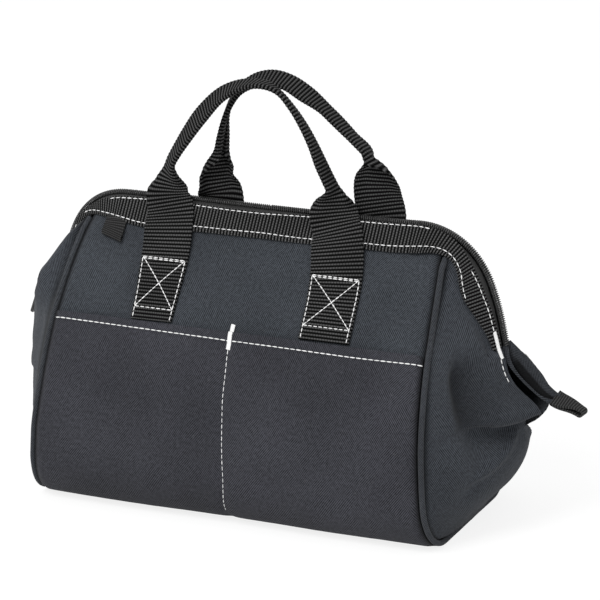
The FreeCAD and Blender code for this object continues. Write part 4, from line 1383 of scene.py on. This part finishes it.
def makeHandle(face, sign, arch):
    line, spots = handleLine(face, arch)
    centre = line[:, :3]
    tangent = unit(np.gradient(eased(centre, strap["ease"]), axis=0))
    across = unit(np.array([0.0, 1.0, 0.0]) - tangent * tangent[:, 1:2])
    outward = -np.cross(across, tangent)
    turn = np.radians(line[:, 3])[:, None]
    faceOut = outward * np.cos(turn) - across * np.sin(turn)
    flat = np.array([0.0, -math.cos(lean), math.sin(lean)])
    onWall = unit(flat - tangent * tangent.dot(flat)[:, None])
    low, high = bag["zipHeight"] - strap["turnFrom"], bag["zipHeight"] + strap["turnTo"]
    rise = smooth(low, high, centre[:, 2:])
    faceOut = unit(mix(onWall, faceOut, rise))
    wideAxis = np.cross(tangent, faceOut)
    spread = through(strapSpread, np.minimum(spots, spots[-1] - spots))
    spread = np.where(spots < spots[-1] / 2, spread[:, 0], spread[:, 1])
    points = np.zeros((len(line), strap["columns"], 3))
    for k, share in enumerate(np.clip(line[:, 4], 0, 1)):
        c, wide, deep = foldedSection(share)
        lift = mix(strap["thick"] / 2, strap["bend"] * 2 / math.pi, share)
        points[k] = centre[k] + spread[k] * wide[:, None] * wideAxis[k] + (deep[:, None] + lift) * faceOut[k]
    uv = joined(c[None], spots[:, None])
    obj = sheetMesh(face + "_strap", placed(points, sign, sign), uv, strap["thick"])
    ribbed(obj, uv, strap, "strapWebbing")
    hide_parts(face + "_handle", face + "_left_anchor", face + "_right_anchor")
    hinge = (strap["hinge"], strap["hinge"] + strap["hingeReach"])
    start, end = (placed(wallPoint(0, s), 1, sign) * mm for s in hinge)
    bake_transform(obj)


crossBox = {"half": 15.6, "low": (9.5, 10.8), "high": (46.2, 47.2), "foot": 1.8, "lift": 2.2, "double": 1.1,
            "stitch": 3.3, "space": 0.6, "crossSpace": 0.1, "thread": 0.39}


def makeCrossThread(face, sign):
    rows = []
    half, start, close = crossBox["half"], crossBox["foot"], crossBox["crossSpace"]
    for k, foot in enumerate(handleFeet[face]):
        low, high = crossBox["low"][k], crossBox["high"][k]
        second = high - crossBox["double"]

        def seam(a, b, space=crossBox["space"]):
            x, s = np.linspace(np.array(a, float), np.array(b, float), 60).T
            wide = through(strapSpread, s - strap["foot"])[..., k]
            line = wallPoint(strapX(foot, s) + x * wide, s, crossBox["lift"])
            return dashes(placed(line, sign, sign), crossBox["stitch"], space)

        rows += seam((-half, start), (-half, high)) + seam((half, start), (half, high))
        rows += seam((-half, low), (half, low)) + seam((-half, high), (half, high))
        rows += seam((-half, second), (half, second))
        rows += seam((-half, low), (half, high), close) + seam((half, low), (-half, high), close)
    obj = threadObject(face + "_cross_thread", rows, crossBox["thread"], 9)
    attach(obj, face + "_flap")


makeHandle("front", 1, frontArch)
makeHandle("back", -1, backArch)
for face, sign in walls:
    makeCrossThread(face, sign)
print("handles made")


# Loop tab under the band, left bare

loop = {"x": -111.0, "width": 16.0, "drop": 10.0, "sheet": 0.7, "rows": 70, "columns": 17,
        "tilt": 0.3, "tiltEdge": (2.0, -6.0), "wave": 0.4, "waveLength": 5.0}
loopLow = bandLow - loop["drop"]
# place along the tape, then up the wall and out of it
loopKnots = ((0, bandLow + 7, 0.9), (10, bandLow - 4, 1.0), (15, loopLow + 1.2, 1.3), (16.5, loopLow, 2.2),
             (18, loopLow + 1.2, 3.2), (23, bandLow - 4, 2.7), (33, bandLow + 7, 1.2))


def makeLoop():
    along = np.linspace(0, loopKnots[-1][0], loop["rows"])
    line = through(loopKnots, along)
    x = np.linspace(-loop["width"] / 2, loop["width"] / 2, loop["columns"])[None]
    s, n = line[:, :1], line[:, 1:]
    start, end = (bandLow + edge for edge in loop["tiltEdge"])
    tilt = -loop["tilt"] * x * smooth(start, end, s)
    points = wallPoint(loop["x"] + x + 0 * s, s + tilt, n + loop["wave"] * np.cos(x / loop["waveLength"]))
    uv = joined(x, along[:, None])
    obj = sheetMesh("loop_tape", points, uv, loop["sheet"])
    finished(obj, "loopWebbing")
    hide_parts("loop_tab")
    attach(obj, "front_flap")


makeLoop()


# Zipper tail: two tape ends and a folded tab, at the right end

tail = {
    "droop": math.radians(36.0), "width": 11.0, "tape": (-6.0, 47.0), "tapeRows": 46, "tapeColumns": 11,
    "sheet": 0.7, "curl": 0.8, "wave": 0.3, "waveLength": 6.0, "shadowEdge": (0.42, 0.54),
    "shadowStart": (2.0, 10.0), "foldStart": 3.0, "foldReach": 6.0,
    "tabStart": 44.0, "tabEnd": 68.0, "tabWidth": 12.5, "tabHalf": 2.7, "tabSheet": 1.5, "tabRows": 40,
    "tabTurnRows": 16, "tabColumns": 15, "pinch": 0.45, "roll": math.radians(-98.0), "rollStart": 0.55,
}
# place along the tail, then x and z
tailPath = ((-8, 172.5, 132), (0, 178, 126.5), (13, 187, 117), (25.5, 196.5, 108.5), (38, 206, 101),
            (47.5, 214, 96.5), (57, 223, 93.5), (70, 234.5, 88))
# place along each tape end, then its lower and upper edge, and how far it stands off the middle
tailTapes = {
    "front": ((-6, -5.0, 4.0, 2.2), (4, -5.4, -1.8, 2.6), (15, -5.8, -4.0, 3.0), (25, -6.0, -4.4, 3.0),
              (38, -5.6, -3.8, 2.0), (47, -5.0, 0.0, 1.2)),
    "back": ((-6, -5.0, 5.5, 2.2), (10, -5.5, 6.6, 2.4), (18, -6.0, 7.0, 2.4), (27, -6.0, 6.4, 2.2),
             (34, -5.6, 4.6, 1.8), (40, -5.0, 4.0, 1.4), (47, -5.0, 3.6, 1.2)),
}


def onTail(along, y, out):
    along = np.asarray(along, float)
    spot = through(tailPath, along)
    ahead = unit(through(tailPath, along + 1.0) - through(tailPath, along - 1.0))
    x, z = spot[..., 0] - ahead[..., 1] * out, spot[..., 1] + ahead[..., 0] * out
    return joined(x, y, z)


def makeTailTapes():
    along = np.linspace(*tail["tape"], tail["tapeRows"])[:, None]
    along, share = np.broadcast_arrays(along, np.linspace(0, 1, tail["tapeColumns"])[None])
    for face, sign in walls:
        edges = through(tailTapes[face], along)
        out = mix(edges[..., 0], edges[..., 1], share)
        wave = tail["wave"] * np.sin(along / tail["waveLength"])
        y = -sign * (edges[..., 2] + tail["curl"] * (0.5 - share) + wave)
        # the far tape lies in the shade of the near one
        shadow = (1 - smooth(*tail["shadowEdge"], share)) * smooth(*tail["shadowStart"], along) * (sign < 0)
        points = onTail(along, y, out)
        uv = joined(out, along)
        obj = sheetMesh(face + "_tail_cloth", points, uv, tail["sheet"], sign > 0, paintedShade=shadow)
        finished(obj, "pipingCloth")
        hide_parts(face + "_tail_tape")
        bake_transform(obj)


def makeTab():
    # folded webbing, its fold at the far end
    half = tail["tabHalf"]
    begin, turn = tail["tabStart"], tail["tabEnd"] - half
    run = np.linspace(begin, turn, tail["tabRows"])
    swing = np.linspace(-math.pi / 2, math.pi / 2, tail["tabTurnRows"])[1:-1]
    along = np.concatenate([run, turn + half * np.cos(swing), run[::-1]])
    y = np.concatenate([np.full_like(run, -half), half * np.sin(swing), np.full_like(run, half)])
    y = y * (1 - tail["pinch"] * (1 - smooth(begin, turn, along)))
    out = np.linspace(-tail["tabWidth"] / 2, tail["tabWidth"] / 2, tail["tabColumns"])[None]
    roll = (tail["roll"] * mix(tail["rollStart"], 1.0, smooth(begin, turn, along)))[:, None]
    points = onTail(along[:, None] + 0 * out, y[:, None] * np.cos(roll) - out * np.sin(roll),
                    y[:, None] * np.sin(roll) + out * np.cos(roll))
    length = alongLine(joined(along, y))
    uv = joined(out, length[:, None])
    obj = sheetMesh("tab_web", points, uv, tail["tabSheet"], True)
    finished(obj, "tabWebbing")
    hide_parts("tail_tab")
    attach(obj, "zip_tail")


makeTailTapes()
makeTab()


# Slider and pull: the frame's own forms with their edges eased

metal = {"sliderEdge": 0.35, "pullEdge": 0.3, "segments": 3, "weld": 0.01, "sharp": 35.0}


def easedCopy(name, node, body, width):
    obj = newObject(name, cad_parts[node].data.copy())
    weld = obj.modifiers.new("weld", "WELD")
    weld.merge_threshold = metal["weld"] * mm
    ease = obj.modifiers.new("ease", "BEVEL")
    ease.width = width * mm
    ease.segments = metal["segments"]
    ease.limit_method = "ANGLE"
    made = settled(obj)
    obj.modifiers.clear()
    obj.data = made
    made.set_sharp_from_angle(angle=math.radians(metal["sharp"]))
    finished(obj, "blackZinc")
    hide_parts(node)
    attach(obj, body)


easedCopy("slider_body", "zip_slider", "zip_slider", metal["sliderEdge"])
easedCopy("pull_blade", "slider_pull", "slider_pull", metal["pullEdge"])
print("small pieces made")


# Floor and light

studio = {
    "floor": 3.0, "floorHeight": -0.0004, "floorShade": 0.9, "floorGlow": 1.1, "shadowKept": 0.25,
    "world": 0.72, "aim": (0.0, 0.0, 0.14),
    # place, size and power, in metres and watts
    "lamps": {"keyLamp": ((-0.5, -1.7, 1.9), 1.0, 36.0), "fillLamp": ((1.8, -0.6, 1.0), 1.2, 3.0)},
}


def makeFloor():
    half, z = studio["floor"], studio["floorHeight"]
    mesh = bpy.data.meshes.new("floor")
    corners = [(-half, -half, z), (half, -half, z), (half, half, z), (-half, half, z)]
    mesh.from_pydata(corners, [], [(0, 1, 2, 3)])
    floor = newObject("floor", mesh)
    paper, nodes = newFinish("paleFloor")
    matte = nodes.add("ShaderNodeBsdfDiffuse", {"Color": shade(studio["floorShade"])})
    glow = nodes.add("ShaderNodeEmission", {"Color": shade(1.0), "Strength": studio["floorGlow"]})
    share = nodes.math("MULTIPLY", nodes.seen(), 1 - studio["shadowKept"])
    both = nodes.add("ShaderNodeMixShader", {0: share, 1: matte.outputs[0], 2: glow.outputs[0]})
    nodes.add("ShaderNodeOutputMaterial", {0: both.outputs[0]})
    mesh.materials.append(paper)


def makeWorld():
    world = bpy.data.worlds.new("studio")
    bpy.context.scene.world = world
    world.use_nodes = True
    world.node_tree.nodes.clear()
    nodes = Nodes(world.node_tree)
    level = nodes.line(nodes.seen(), 1 - studio["world"], studio["world"])
    light = nodes.add("ShaderNodeBackground", {"Color": shade(1.0), "Strength": level})
    nodes.add("ShaderNodeOutputWorld", {0: light.outputs[0]})


def makeLamps():
    for name, (place, size, power) in studio["lamps"].items():
        data = bpy.data.lights.new(name, "AREA")
        data.size = size
        data.energy = power
        lamp = newObject(name, data)
        lamp.location = place
        aim = Vector(studio["aim"]) - Vector(place)
        lamp.rotation_euler = aim.to_track_quat("-Z", "Y").to_euler()


bpy.context.scene.view_settings.view_transform = "Standard"
makeFloor()
makeWorld()
makeLamps()
print("studio made")
